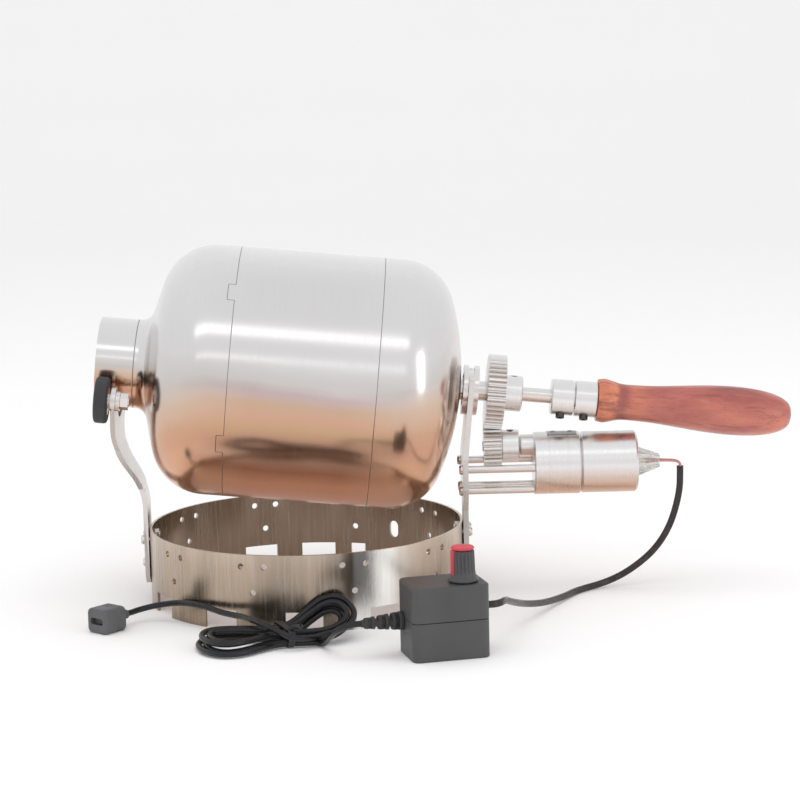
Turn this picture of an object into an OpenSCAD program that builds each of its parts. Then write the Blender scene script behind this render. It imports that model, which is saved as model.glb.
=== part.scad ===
// Coffee bean roaster: a steel drum with a neck, turned over a heat source by a small gear motor
// or by its wooden handle. The drum lies in a ring stand, its neck on two rollers and its shaft
// in an open slot, so the whole drum lifts out to pour the beans.
// Origin: on the table, under the middle of the stand and drum. X runs from the mouth to the handle.

/* [Ring stand] */
// Outer diameter of the ring
ring_d = 177; // [160:1:200]
// Height of the ring
ring_h = 42; // [38:1:50]
// Sheet thickness of the ring
ring_wall = 1.5; // [1:0.1:2]
// Diameter of the small round holes
ring_hole_d = 3.4; // [3.2:0.1:4]
// Depth of the upper holes below the rim
hole_drop_upper = 6.4; // [5:0.1:9]
// Depth of the lower holes below the rim
hole_drop_lower = 20.6; // [16:0.1:24]
// Height of the openings between the feet
foot_gap_h = 11; // [6:0.5:13]
// Width of a wide opening between the feet
foot_gap_w = 20; // [14:0.5:24]

/* [Left arm and rollers] */
// Sheet thickness of the left arm
left_arm_t = 2.5; // [2:0.1:3]
// Width of both arms where they are screwed on
arm_w = 22; // [20:0.5:26]
// Height of the lower end of both arms
arm_foot_z = 10.5; // [8:0.5:14]
// Height where the left arm starts to lean out
jog_start_z = 65; // [60:0.5:70]
// Height where the left arm stands up again
jog_end_z = 89; // [84:0.5:92]
// Width of the left arm at the top of its lean
yoke_w = 38; // [32:1:44]
// Outer diameter of a roller
roller_d = 25.5; // [24:0.5:30]
// Width of a roller
roller_w = 7.5; // [6:0.1:12]
// Angle from straight down to each roller, about the neck
roller_angle = 64; // [52:1:66]
// Diameter of the roller bolts
roller_bolt_d = 5; // [4:0.5:6]

/* [Right arm and bearing] */
// Sheet thickness of the right arm
right_arm_t = 3; // [2.5:0.1:3.5]
// Width of the right arm behind the motor
motor_plate_w = 41; // [40:0.5:46]
// Outer diameter of the bearing's side flanges
bearing_flange_d = 28; // [26:0.5:32]
// Diameter at the bottom of the bearing's groove
bearing_groove_d = 22; // [20:0.5:23]
// Width of the bearing over both flanges
bearing_w = 8.5; // [8:0.1:9.5]
// Wall of the fork on each side of its slot
fork_wall = 6; // [4.5:0.5:8]
// Height of the fork's tips above the shaft
fork_rise = 10.5; // [6:0.5:13]
// Travel of the drum when it is lifted out
lift_travel = 60; // [40:5:80]

/* [Drum] */
// Outer diameter of the drum
drum_d = 140; // [130:1:146]
// Sheet thickness of the drum
drum_wall = 1; // [0.8:0.1:1.2]
// Height of the drum's axis over the middle of the ring
axis_h = 125; // [122:0.2:128]
// Slope of the drum's axis, down towards the handle
tilt = 6; // [4:0.5:7]
// Outer diameter of the neck
neck_d = 49.5; // [42:0.5:51]
// Distance from the middle to the mouth
mouth_s = 113.8; // [112:0.1:120]
// Distance from the middle to the collar's seam
collar_s = 92.8; // [91:0.1:96]
// Distance from the middle to the front seam
front_seam_s = 38.7; // [34:0.1:44]
// Distance from the middle to the rear seam
rear_seam_s = 41.2; // [36:0.1:46]
// Distance from the middle to the top of the rear dome
dome_s = 89; // [87:0.5:89.5]
// Radius of the drum's two big round corners
corner_r = 30; // [26:1:34]
// Radius of the rear dome
dome_r = 150; // [120:5:180]
// Lean of the front shoulder from upright
shoulder_lean = 15; // [10:1:20]
// Radius of the hollow between shoulder and neck
neck_fillet_r = 8; // [7:0.5:10]
// Number of locking tabs round the front seam
tab_count = 5; // [4:1:6]
// Width of a locking tab along the seam
tab_w = 11; // [8:0.5:14]
// Length of a locking tab
tab_len = 4; // [3:0.5:5]
// Number of mixing vanes
vane_count = 3; // [2:1:5]
// Height of a mixing vane
vane_h = 15; // [8:1:22]
// Length of a mixing vane
vane_len = 92; // [60:2:96]

/* [Shaft and handle] */
// Diameter of the drum's shaft
shaft_d = 8; // [7:0.5:8]
// Outer diameter of the coupling
coupling_d = 20; // [18:0.5:22]
// Length of the coupling
coupling_len = 26; // [24:0.5:30]
// Distance from the middle to the handle's near end
handle_s = 166.1; // [165:0.1:172]
// Length of the handle
handle_len = 110.2; // [95:0.1:125]
// Largest diameter of the handle
handle_d = 27.4; // [24:0.5:32]

/* [Gears] */
// Tooth size, as pitch diameter over teeth
gear_module = 1; // [0.95:0.01:1.05]
// Teeth on the drum's gear
gear_teeth = 40; // [38:2:42]
// Teeth on the motor's pinion
pinion_teeth = 20; // [18:2:22]
// Width of the teeth
face_w = 10; // [8:0.5:11]
// Extra centre distance, which lets the sloping gear run in the level pinion
mesh_slack = 0.7; // [0.6:0.05:0.9]
// Diameter of the drum gear's hub
gear_hub_d = 20; // [18:0.5:24]
// Diameter of the pinion's hub
pinion_hub_d = 18; // [16:0.5:18.5]
// Length of both hubs
hub_len = 10; // [8:0.5:10]

/* [Motor] */
// Diameter of the gearbox
gearbox_d = 35.2; // [35:0.1:38]
// Length of the gearbox
gearbox_len = 26; // [22:0.5:30]
// Diameter of the motor
motor_d = 34.5; // [30:0.5:36]
// Length of the motor
motor_len = 32; // [28:0.5:40]
// Distance from the middle to the gearbox's face
gearbox_x = 129; // [128:0.5:134]
// Distance of the output shaft from the gearbox's middle
output_offset = 10.5; // [6:0.5:11]
// Diameter of the output shaft
output_d = 6; // [5:0.5:6]
// Diameter of the circle of the standoffs
standoff_circle_d = 31; // [30:0.5:32]
// Diameter of a standoff
standoff_d = 4.4; // [4:0.1:5]

/* [Speed control] */
// Width of the control box
box_w = 41; // [38:0.5:44]
// Depth of the control box
box_d = 30; // [28:0.5:36]
// Height of the control box
box_h = 38.5; // [35:0.5:42]
// Wall of the control box
box_wall = 1.8; // [1.4:0.1:2.2]
// Corner radius of the control box
box_r = 4; // [2:0.5:5]
// Height of the seam between the two halves
box_seam_z = 20.2; // [18:0.1:23]
// Diameter of the knob's skirt
knob_skirt_d = 15.9; // [14:0.1:17]
// Diameter of the knob at the foot of its ribs
knob_d = 12.6; // [11:0.1:13.5]
// Height of the knob
knob_h = 18; // [16:0.5:22]
// Turn of the knob from low to high speed
knob_turn = 300; // [270:10:300]

/* [Cords] */
// Diameter of the supply cord
cord_d = 3.3; // [3:0.1:3.5]
// Diameter of the motor's cord
lead_d = 3.8; // [3.6:0.1:4.2]
// Turns of the supply cord in its tied hank
hank_loops = 4; // [4:1:4]
// Half the length of the hank
hank_half_len = 43; // [40:0.5:45]
// Length of the plug
plug_len = 16; // [14:0.5:22]
// Width of the plug
plug_w = 15; // [13:0.5:17]
// Height of the plug
plug_h = 13.5; // [8:0.5:15]

/* [Hidden] */
$fn = 96;

// Fits and shared small sizes
overrun = 1;          // how far a cut runs past a face
fit = 0.05;           // radial play of a running or sliding fit
seat = 0.1;           // play between parts that are pressed together flat
air = 0.4;            // room between parts that move past each other
edge_r = 0.6;         // broken edge of a turned part
screw_d = 3;          // M3 screws
screw_head_d = 5.6;
screw_head_h = 2;
nut_af = 5.5;         // M3 nut across flats
nut_h = 2.4;
set_screw_d = 4;      // M4 set screws
set_screw_sink = 0.5; // how deep a set screw lies under its hub's surface

// Ring stand
ring_r = ring_d / 2;
ring_inner_r = ring_r - ring_wall;
hole_pitch_angle = 36;      // between two groups of three holes
hole_half_angle = 4.25;     // of an upper hole from the middle of its group
hole_zs = [ring_h - hole_drop_upper, ring_h - hole_drop_lower];
hole_y = ring_r * sin(hole_half_angle);
// openings between the feet: angle from +X, and width as a share of foot_gap_w
foot_gap_shares = [[-153, 1], [-121, 1], [-90, 1], [-60, 1], [-28, 1], [40, 1], [71, 0.45],
                   [87, 1], [110, 1], [140, 1]];
air_slot_angle = 55;        // the oval air hole high in the far wall
air_slot_w = 6;
air_slot_h = 10;

// Drum, in its own frame: s along the axis from the middle, r out from it
drum_r = drum_d / 2;
neck_r = neck_d / 2;
neck_bore_r = neck_r - drum_wall;
front_corner_share = 1.32;  // front corner's middle, as a share of the front seam's distance
front_corner_s = -front_corner_share * front_seam_s;
dome_centre_s = dome_s - dome_r;
rear_corner_s = dome_centre_s + sqrt(pow(dome_r - corner_r, 2) - pow(drum_r - corner_r, 2));
rear_corner_angle = atan2(drum_r - corner_r, rear_corner_s - dome_centre_s);
seam_gap = 0.12;            // fine line between two shells
lip_len = 7;                // sleeve under the front seam
lip_wall = 0.8;
seam_bead_h = 0.35;
tab_angle = tab_w / drum_r * 180 / PI;
tab_turn = 8;               // turns the tabs to where the front one shows

// Rollers, about the neck
roller_r = roller_d / 2;
roller_touch = 0.12;        // play between tyre and neck
roller_reach = neck_r + roller_r + roller_touch;
roller_y = roller_reach * sin(roller_angle);
roller_drop = roller_reach * cos(roller_angle);
left_plate_s = -101.4;      // middle of the left arm's upper plate, along the drum's axis
roller_gap = 1.5;           // between a roller and the left arm
roller_s = left_plate_s - left_arm_t / 2 - roller_gap - roller_w / 2;
roller_plate_z = roller_w / 2 + roller_gap;
roller_tyre_t = 4.5;
roller_edge_r = 1.8;
sleeve_wall = 1.5;
sleeve_d = roller_bolt_d + 2 * sleeve_wall;
washer_d = 11;
washer_t = 1.1;
bolt_head_d = 8.6;
bolt_head_h = 2.6;
bolt_seat_z = bolt_head_h - roller_w / 2; // the head lies in the hub, flush with the tyre
bolt_nut_af = 8;
bolt_nut_h = 4.4;
prong_r = 7.5;
neck_room = 5.5;            // between the neck and the left arm's hollow
bend_r = 5;                 // bend radius of the left arm
right_bend_r = 8;

// Bearing, shaft and gear, along the drum's axis
bearing_s = 94.5;
bearing_bore_r = shaft_d / 2 + fit;
inner_ring_r = 6.6;
outer_ring_bore_r = 9.2;
ball_d = 3.4;
ball_count = 8;
ball_circle_r = (inner_ring_r + outer_ring_bore_r) / 2;
ball_play = 0.06;
shield_t = 0.6;
arm_play = 0.15;            // between each flange and the right arm
flange_t = (bearing_w - right_arm_t - 2 * arm_play) / 2;
slot_play = 0.1;
slot_r = bearing_groove_d / 2 + slot_play;
gear_gap = 4.9;             // between the bearing and the gear
gear_s = bearing_s + bearing_w / 2 + gear_gap;
gear_pitch_r = gear_module * gear_teeth / 2;
pinion_pitch_r = gear_module * pinion_teeth / 2;
spacer_d = 11;
shaft_end_s = handle_s - coupling_len / 2 - seat;
shaft_start_s = 68;
hub_plate_r = 20;           // flange that carries the shaft inside the dome
hub_plate_t = 3;
hub_boss_r = 8;
hub_boss_len = 9;
hub_sink = 2;               // how deep the dome's top hangs over its rim at the flange
boss_end_s = dome_s - drum_wall - hub_plate_t - hub_sink - hub_boss_len;
shaft_nut_af = 13;
shaft_nut_h = 4;
tang_len = 34;              // of the handle's steel rod inside the wood
coupling_groove_w = 1;
coupling_groove_d = 5;
coupling_screw_d = 5;
coupling_screw_rise = 2;    // how far the screws stand out
coupling_screw_shares = [0.22, 0.73]; // of the coupling's length
coupling_screw_angle = 65;  // below the side that faces the box

// Pinion and motor axes are level; the drum's gear slopes
mesh_s = gear_s + face_w / 2;
mesh_centre = gear_pitch_r + pinion_pitch_r + mesh_slack;
mesh_x = mesh_s * cos(tilt) - gear_pitch_r * sin(tilt);
pinion_z = axis_h - (mesh_centre + mesh_x * sin(tilt)) / cos(tilt);
motor_z = pinion_z - output_offset;
pinion_x = mesh_x - face_w / 2;
boss_d = 12;
boss_len = 7.5;
tooth_thin = 0.1;           // taken off each tooth for play
pressure_angle = 20;
addendum = gear_module;
dedendum = 1.25 * gear_module;
standoff_angles = [-90, -30, 30, 90]; // from straight down, about the motor's axis
right_arm_x = ring_r + seat / 2;
end_cap_t = 2.6;
end_cap_share = 0.76;       // of the motor's diameter
can_edge_r = 1.2;
can_end = gearbox_len + motor_len + seat;
terminal_w = 2.8;
terminal_t = 0.6;
terminal_len = 7;
terminal_gap = 10;
boot_len = 13;
boot_wall = 0.8;
boot_root_w = 20;
boot_root_h = 13.5;
boot_tip_w = 8;
boot_tip_h = 6.4;

// Speed control, turned on the table in front of the ring
box_x = 73.2;
box_y = -139.5;
box_turn = 14;
knob_u = 9;                 // knob's place on the box's top, from its middle
knob_v = -5;
knob_skirt_h = 2.8;
knob_top_share = 0.95;      // knob's top diameter over its foot
knob_rib_count = 18;
knob_rib_d = 1.8;
pointer_angle = 192;
cap_h = 1.6;
pointer_w = 2.6;
pot_shaft_d = 6;
pot_bush_d = 7;
pot_shaft_len = 12;         // reach of its shaft into the knob
pot_d = 11;
pot_h = 8;
relief_len = 22;
relief_root_d = 10;
relief_grip = 2;            // how far the relief reaches behind the case's wall
relief_tip_d = 5;
relief_rib_count = 5;
relief_v = 6;
relief_z = 18;
lead_exit_z = 24;
grommet_d = 7;
grommet_len = 2.4;
board_t = 1.6;
post_d = 5;
post_h = 4;                 // posts that the circuit board stands on
board_notch_d = 3.4;        // notches at the board's corners
board_notch_in = 1;

// Whole part: the box that it fills without its supply cord gives the origin
x_low = -(mouth_s * cos(tilt) + neck_r * sin(tilt));
x_high = (handle_s + handle_len) * cos(tilt);
y_low = box_y - (box_w / 2 - box_r) * sin(box_turn) - (box_d / 2 - box_r) * cos(box_turn) - box_r;
origin_x = (x_low + x_high) / 2;
origin_y = (y_low + ring_r) / 2;

// Frames: the ring's middle on the table, and the drum's own axis
module from_ring() {
    translate([-origin_x, -origin_y, 0]) children();
}

module from_drum(s = 0) {
    from_ring() translate([0, 0, axis_h]) rotate([0, tilt, 0]) translate([s, 0, 0]) children();
}

module turned_on_drum(s = 0) {
    from_drum(s) rotate([0, 90, 0]) children();
}

module at_rollers(sides = [-1, 1]) {
    for (side = sides) from_drum(roller_s) translate([0, side * roller_y, -roller_drop]) rotate([0, 90, 0])
        children();
}

module from_motor() {
    from_ring() translate([gearbox_x, 0, motor_z]) rotate([0, 90, 0]) children();
}

module from_box() {
    from_ring() translate([box_x, box_y, 0]) rotate([0, 0, box_turn]) children();
}

// A ring of rectangular section, and a plain disc with broken edges
module tube(r_out, r_in, len) {
    rotate_extrude() translate([r_in, 0]) square([r_out - r_in, len]);
}

module soft_disc(r, len, e = edge_r) {
    rotate_extrude() polygon([[0, 0], [r - e, 0], [r, e], [r, len - e], [r - e, len], [0, len]]);
}

module soft_ring(r, bore_r, len, e = edge_r) {
    rotate_extrude() polygon([[bore_r, 0], [r - e, 0], [r, e], [r, len - e], [r - e, len], [bore_r, len]]);
}

// Fasteners: the head's seat lies at z = 0 and the shank runs up
module pan_screw(d, len, head_d = screw_head_d, head_h = screw_head_h) {
    difference() {
        union() {
            cylinder(d = d, h = len);
            translate([0, 0, -head_h]) rotate_extrude()
                polygon([[0, 0], [head_d / 2 - head_h / 3, 0], [head_d / 2, head_h / 2],
                    [head_d / 2, head_h], [0, head_h]]);
        }
        translate([0, 0, -head_h - overrun]) cylinder(d = head_d * 0.48, h = head_h * 0.55 + overrun,
            $fn = 6);
    }
}

module hex_nut(af, h, bore_d) {
    difference() {
        cylinder(r = af / 2 / cos(30), h = h, $fn = 6);
        translate([0, 0, -overrun]) cylinder(d = bore_d + 2 * fit, h = h + 2 * overrun);
    }
}

// Bent sheet metal: a path with rounded bends, thickened to both sides
function unit(v) = v / norm(v);
function arc_steps() = 6;
function bend(a, b, c, r) =
    let (u = unit(a - b), v = unit(c - b), half = acos(u * v) / 2,
         centre = b + unit(u + v) * r / sin(half),
         from = b + u * r / tan(half) - centre, to = b + v * r / tan(half) - centre,
         start = atan2(from[1], from[0]), sweep = atan2(to[1], to[0]) - start,
         turn = sweep > 180 ? sweep - 360 : sweep < -180 ? sweep + 360 : sweep)
    [for (i = [0:arc_steps()]) centre + r * [cos(start + turn * i / arc_steps()),
    sin(start + turn * i / arc_steps())]];
function bent_path(pts, r) = concat([pts[0]],
    [for (i = [1:len(pts) - 2]) each bend(pts[i - 1], pts[i], pts[i + 1], r)], [pts[len(pts) - 1]]);
function side_of(pts, i) =
    let (a = pts[max(i - 1, 0)], b = pts[min(i + 1, len(pts) - 1)], d = unit(b - a)) [-d[1], d[0]];
function sheet_outline(pts, t) = concat([for (i = [0:len(pts) - 1]) pts[i] + side_of(pts, i) * t / 2],
    [for (i = [len(pts) - 1:-1:0]) pts[i] - side_of(pts, i) * t / 2]);

// Place in the ring's X-Z plane of a point in the drum's frame
function drum_point(s, up) = [s * cos(tilt) + up * sin(tilt), axis_h - s * sin(tilt) + up * cos(tilt)];

module hole_group(z_upper, z_lower) {
    for (side = [-1, 1]) rotate([0, 0, side * hole_half_angle]) translate([0, 0, z_upper]) children();
    translate([0, 0, z_lower]) children();
}

module base_ring() {
    color("lightsteelblue") from_ring() difference() {
        tube(ring_r, ring_inner_r, ring_h);
        for (k = [0:360 / hole_pitch_angle - 1]) rotate([0, 0, k * hole_pitch_angle])
            hole_group(hole_zs[0], hole_zs[1])
                translate([ring_inner_r - overrun, 0, 0]) rotate([0, 90, 0])
                    cylinder(d = ring_hole_d, h = ring_wall + 2 * overrun);
        for (g = foot_gap_shares) rotate([0, 0, g[0]])
            translate([ring_inner_r - 3 * overrun, -foot_gap_w * g[1] / 2, -overrun])
                cube([ring_wall + 6 * overrun, foot_gap_w * g[1], foot_gap_h + overrun]);
        rotate([0, 0, air_slot_angle]) translate([ring_inner_r - overrun, 0, hole_zs[1]]) rotate([0, 90, 0])
            linear_extrude(ring_wall + 2 * overrun) {
                for (side = [-1, 1]) translate([side * (air_slot_h - air_slot_w) / 2, 0])
                    circle(d = air_slot_w);
                square([air_slot_h - air_slot_w, air_slot_w], center = true);
            }
    }
}

// Left arm: bent sheet with a yoke that holds the rollers
left_arm_x = -(ring_r + seat / 2 + left_arm_t / 2);
yoke_up = (jog_end_z - axis_h + left_plate_s * sin(tilt)) / cos(tilt);
yoke_foot = drum_point(left_plate_s, yoke_up);
yoke_top = drum_point(left_plate_s, 0);
roller_bolt_z = drum_point(left_plate_s, -roller_drop)[1];
left_path = bent_path([[left_arm_x, arm_foot_z], [left_arm_x, jog_start_z], yoke_foot, yoke_top], bend_r);

module left_arm_outline() {
    difference() {
        union() {
            polygon([[-arm_w / 2, arm_foot_z + bend_r], [-arm_w / 2 + bend_r, arm_foot_z],
                     [arm_w / 2 - bend_r, arm_foot_z], [arm_w / 2, arm_foot_z + bend_r],
                     [arm_w / 2, jog_start_z], [yoke_w / 2, jog_end_z],
                     [roller_y + prong_r * 0.87, roller_bolt_z - prong_r * 0.5],
                     [roller_y, roller_bolt_z + prong_r], [-roller_y, roller_bolt_z + prong_r],
                     [-roller_y - prong_r * 0.87, roller_bolt_z - prong_r * 0.5],
                     [-yoke_w / 2, jog_end_z], [-arm_w / 2, jog_start_z]]);
            for (side = [-1, 1]) translate([side * roller_y, roller_bolt_z]) circle(r = prong_r);
        }
        translate([0, yoke_top[1]]) circle(r = neck_r + neck_room);
    }
}

module left_arm() {
    color("gainsboro") difference() {
        from_ring() intersection() {
            translate([0, ring_r, 0]) rotate([90, 0, 0]) linear_extrude(2 * ring_r)
                polygon(sheet_outline(left_path, left_arm_t));
            translate([-mouth_s - ring_wall, 0, 0]) rotate([90, 0, 90]) linear_extrude(mouth_s)
                left_arm_outline();
        }
        arm_screw_places(-1) translate([0, 0, -overrun - left_arm_t])
            cylinder(d = ring_hole_d, h = 2 * left_arm_t + 2 * overrun);
        at_rollers() cylinder(d = roller_bolt_d + 4 * fit, h = roller_plate_z + 2 * left_arm_t);
    }
}

// The three screws of an arm: z = 0 on the arm's outer face, z up into the ring
module arm_screw_places(side) {
    arm_t = side < 0 ? left_arm_t : right_arm_t;
    from_ring() for (p = [[-hole_y, hole_zs[0]], [hole_y, hole_zs[0]], [0, hole_zs[1]]])
        translate([side * (ring_r + seat / 2 + arm_t), p[0], p[1]]) rotate([0, -side * 90, 0]) children();
}

function nut_seat(y) = ring_r - sqrt(pow(ring_inner_r, 2) - pow(abs(y) + nut_af / 2, 2));

module arm_screws() {
    for (side = [-1, 1]) color("silver") arm_screw_places(side)
        pan_screw(screw_d, (side < 0 ? left_arm_t : right_arm_t) + ring_wall + nut_h + 2 * edge_r);
}

module arm_nuts() {
    color("silver") from_ring() for (side = [-1, 1], p = [[-hole_y, hole_zs[0]], [hole_y, hole_zs[0]],
        [0, hole_zs[1]]])
        translate([side * (ring_r - nut_seat(p[0])), p[0], p[1]]) rotate([0, -side * 90, 0])
            hex_nut(nut_af, nut_h, screw_d);
}

// Rollers: black tyre on a steel hub, which runs on a fixed sleeve
module roller_tyre(side) {
    r_in = roller_r - roller_tyre_t;
    color("dimgray") at_rollers([side]) translate([0, 0, -roller_w / 2])
        rotate_extrude() {
            translate([r_in, 0]) square([roller_tyre_t - roller_edge_r, roller_w]);
            translate([r_in, roller_edge_r]) square([roller_tyre_t, roller_w - 2 * roller_edge_r]);
            for (z = [roller_edge_r, roller_w - roller_edge_r]) translate([roller_r - roller_edge_r, z])
                circle(r = roller_edge_r);
        }
}

module roller_hub(side) {
    color("silver") at_rollers([side]) difference() {
        translate([0, 0, -roller_w / 2 + seat])
            soft_ring(roller_r - roller_tyre_t - fit / 2, sleeve_d / 2 + fit, roller_w - 2 * seat,
                edge_r / 2);
        // recess for the bolt's head
        translate([0, 0, -roller_w / 2]) cylinder(r = bolt_head_d / 2 + air, h = bolt_head_h + air);
    }
}

module front_roller_tyre() { roller_tyre(-1); }
module rear_roller_tyre() { roller_tyre(1); }
module front_roller_hub() { roller_hub(-1); }
module rear_roller_hub() { roller_hub(1); }

module roller_sleeves() {
    color("silver") at_rollers() translate([0, 0, bolt_seat_z + seat])
        tube(sleeve_d / 2, roller_bolt_d / 2 + fit, roller_plate_z - bolt_seat_z - 2 * seat);
}

module roller_bolts() {
    color("silver") at_rollers() translate([0, 0, bolt_seat_z])
        pan_screw(roller_bolt_d, roller_plate_z - bolt_seat_z + seat + left_arm_t + 2 * washer_t
                  + bolt_nut_h + edge_r,
                  bolt_head_d, bolt_head_h);
}

module roller_washers() {
    color("silver") at_rollers() for (k = [0, 1])
        translate([0, 0, roller_plate_z + left_arm_t + seat / 2 + k * (washer_t + seat / 2)])
            tube(washer_d / 2, roller_bolt_d / 2 + fit, washer_t);
}

module roller_nuts() {
    color("silver") at_rollers() translate([0, 0, roller_plate_z + left_arm_t + 2 * washer_t + 2 * seat])
        hex_nut(bolt_nut_af, bolt_nut_h, roller_bolt_d);
}

// Drum outline at the sheet's outer face (skin = 0) or inner face (skin = drum_wall)
module neck_half(skin) {
    translate([0, -mouth_s - overrun]) square([neck_r - skin, mouth_s + overrun]);
}

lean_s = sin(90 - shoulder_lean);
lean_r = cos(90 - shoulder_lean);
cone_start = [drum_r - corner_r + corner_r * lean_r, front_corner_s - corner_r * lean_s];
cone_end_r = neck_r + neck_fillet_r * (1 - lean_r);
cone_end = [cone_end_r, cone_start[1] - (cone_start[0] - cone_end_r) * lean_r / lean_s];
fillet_centre = [neck_r + neck_fillet_r, cone_end[1] - neck_fillet_r * lean_s];

module drum_half(skin) {
    r = drum_r - skin;
    // straight wall and its two round corners
    translate([0, front_corner_s]) square([r, rear_corner_s - front_corner_s]);
    translate([drum_r - corner_r, front_corner_s]) circle(r = corner_r - skin);
    intersection() {
        translate([drum_r - corner_r, rear_corner_s]) circle(r = corner_r - skin);
        translate([0, front_corner_s]) square([drum_d, drum_d + dome_s]);
    }
    // shoulder cone, down to the hollow of the neck
    inset = skin * [-lean_r, lean_s];
    polygon([[0, front_corner_s], [drum_r - corner_r, front_corner_s], cone_start + inset, cone_end + inset,
             [cone_end[0] + inset[0], fillet_centre[1]], [0, fillet_centre[1]]]);
    // rear dome
    intersection() {
        translate([0, dome_centre_s]) circle(r = dome_r - skin);
        polygon([[0, rear_corner_s - corner_r], [drum_r - corner_r, rear_corner_s - corner_r],
                 [drum_r - corner_r, rear_corner_s],
                 [(dome_r + overrun) * sin(rear_corner_angle),
                 dome_centre_s + (dome_r + overrun) * cos(rear_corner_angle)],
                 [0, dome_s + dome_r]]);
    }
}

module drum_section(skin) {
    intersection() {
        difference() {
            union() {
                drum_half(skin);
                neck_half(skin);
            }
            // the hollow between neck and shoulder, cut away outside its fillet
            translate(fillet_centre) circle(r = neck_fillet_r + skin);
        }
        translate([0, -mouth_s - 2 * overrun]) square([drum_d, mouth_s + dome_s + 4 * overrun]);
    }
}

module drum_sheet() {
    difference() {
        drum_section(0);
        drum_section(drum_wall);
    }
}

module drum_slice(from_s, to_s) {
    intersection() {
        drum_sheet();
        translate([0, from_s]) square([drum_d, to_s - from_s]);
    }
}

// One sector of sheet, centred on the tabs, as wide as the given angle
module sheet_sector(angle, from_s, to_s) {
    translate([0, 0, from_s]) rotate([0, 0, -angle / 2]) rotate_extrude(angle = angle)
        translate([drum_r - 3 * drum_wall, 0]) square([6 * drum_wall, to_s - from_s]);
}

module tab_places() {
    for (k = [0:tab_count - 1]) rotate([0, 0, tab_turn + k * 360 / tab_count]) children();
}

module neck_collar() {
    color("silver") turned_on_drum() rotate_extrude() drum_slice(-mouth_s, -collar_s - seam_gap);
}

module drum_front_shell() {
    color("silver") turned_on_drum() difference() {
        rotate_extrude() drum_slice(-collar_s, -front_seam_s - seam_gap);
        tab_places() sheet_sector(tab_angle, -front_seam_s - tab_len, -front_seam_s);
    }
}

module drum_body() {
    gap_angle = 2 * seam_gap / drum_r * 180 / PI;
    color("silver") turned_on_drum() {
        difference() {
            rotate_extrude() drum_slice(-front_seam_s - tab_len + seam_gap, rear_seam_s);
            tab_places() rotate([0, 0, 180 / tab_count])
                sheet_sector(360 / tab_count - tab_angle + gap_angle, -front_seam_s - tab_len - overrun,
                    -front_seam_s);
        }
    }
}

module seam_sleeve() {
    color("silver") turned_on_drum(-front_seam_s - lip_len)
        tube(drum_r - drum_wall - seat, drum_r - drum_wall - seat - lip_wall, 2 * lip_len);
}

module drum_rear_dome() {
    color("silver") turned_on_drum() difference() {
        rotate_extrude() drum_slice(rear_seam_s + seam_gap, dome_s + overrun);
        cylinder(r = shaft_d / 2 + fit, h = dome_s + 2 * overrun);
    }
}

module mixing_vanes() {
    color("gray") for (k = [0:vane_count - 1]) from_drum() rotate([(k + 0.5) * 360 / vane_count, 0, 0])
        intersection() {
            translate([-vane_len / 2, -drum_r, drum_r - drum_wall - seat / 2 - vane_h]) difference() {
                cube([vane_len, drum_d, vane_h]);
                translate([-overrun, -overrun, -overrun])
                    cube([vane_len + 2 * overrun, drum_r + overrun - drum_wall, vane_h + 2 * overrun]);
                translate([-overrun, drum_r + drum_wall, -overrun])
                    cube([vane_len + 2 * overrun, drum_d, vane_h + 2 * overrun]);
            }
            rotate([0, 90, 0]) translate([0, 0, -drum_r])
                cylinder(r = drum_r - drum_wall - lip_wall - 3 * seat, h = drum_d);
        }
}

// Flange inside the dome that carries the shaft
module shaft_flange() {
    color("silver") turned_on_drum() rotate_extrude() difference() {
        union() {
            intersection() {
                translate([0, dome_centre_s]) circle(r = dome_r - drum_wall - seat);
                translate([shaft_d / 2 + fit, boss_end_s + hub_boss_len])
                    square([hub_plate_r - shaft_d / 2 - fit, hub_plate_t * 3]);
            }
            translate([shaft_d / 2 + fit, boss_end_s])
                square([hub_boss_r - shaft_d / 2 - fit, hub_boss_len + overrun]);
        }
    }
}

module drum_shaft() {
    color("silver") turned_on_drum(shaft_start_s) soft_disc(shaft_d / 2, shaft_end_s - shaft_start_s);
}

module shaft_nut() {
    color("silver") turned_on_drum(boss_end_s - seat - shaft_nut_h)
        hex_nut(shaft_nut_af, shaft_nut_h, shaft_d);
}

// Bearing with a grooved outer ring that hangs in the fork
module bearing_outer_ring() {
    groove_w = bearing_w - 2 * flange_t;
    color("silver") turned_on_drum(bearing_s - bearing_w / 2) rotate_extrude() difference() {
        translate([outer_ring_bore_r, 0]) square([bearing_flange_d / 2 - outer_ring_bore_r, bearing_w]);
        translate([bearing_groove_d / 2, flange_t]) square([bearing_flange_d, groove_w]);
        translate([ball_circle_r, bearing_w / 2]) circle(d = ball_d + 2 * ball_play);
    }
}

module bearing_inner_ring() {
    color("silver") turned_on_drum(bearing_s - bearing_w / 2) rotate_extrude() difference() {
        translate([bearing_bore_r, 0]) square([inner_ring_r - bearing_bore_r, bearing_w]);
        translate([ball_circle_r, bearing_w / 2]) circle(d = ball_d + 2 * ball_play);
    }
}

module bearing_balls() {
    color("silver") turned_on_drum(bearing_s) for (k = [0:ball_count - 1])
        rotate([0, 0, k * 360 / ball_count]) translate([ball_circle_r, 0, 0]) sphere(d = ball_d, $fn = 32);
}

module bearing_shields() {
    color("dimgray") for (side = [-1, 1])
        turned_on_drum(bearing_s + side * (bearing_w / 2 - shield_t) - shield_t / 2)
            tube(outer_ring_bore_r - fit / 2, inner_ring_r + 3 * seat, shield_t);
}

module shaft_washer() {
    color("silver") turned_on_drum(dome_s + seat)
        tube(inner_ring_r - edge_r, shaft_d / 2 + fit, bearing_s - bearing_w / 2 - dome_s - 2 * seat);
}

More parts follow.
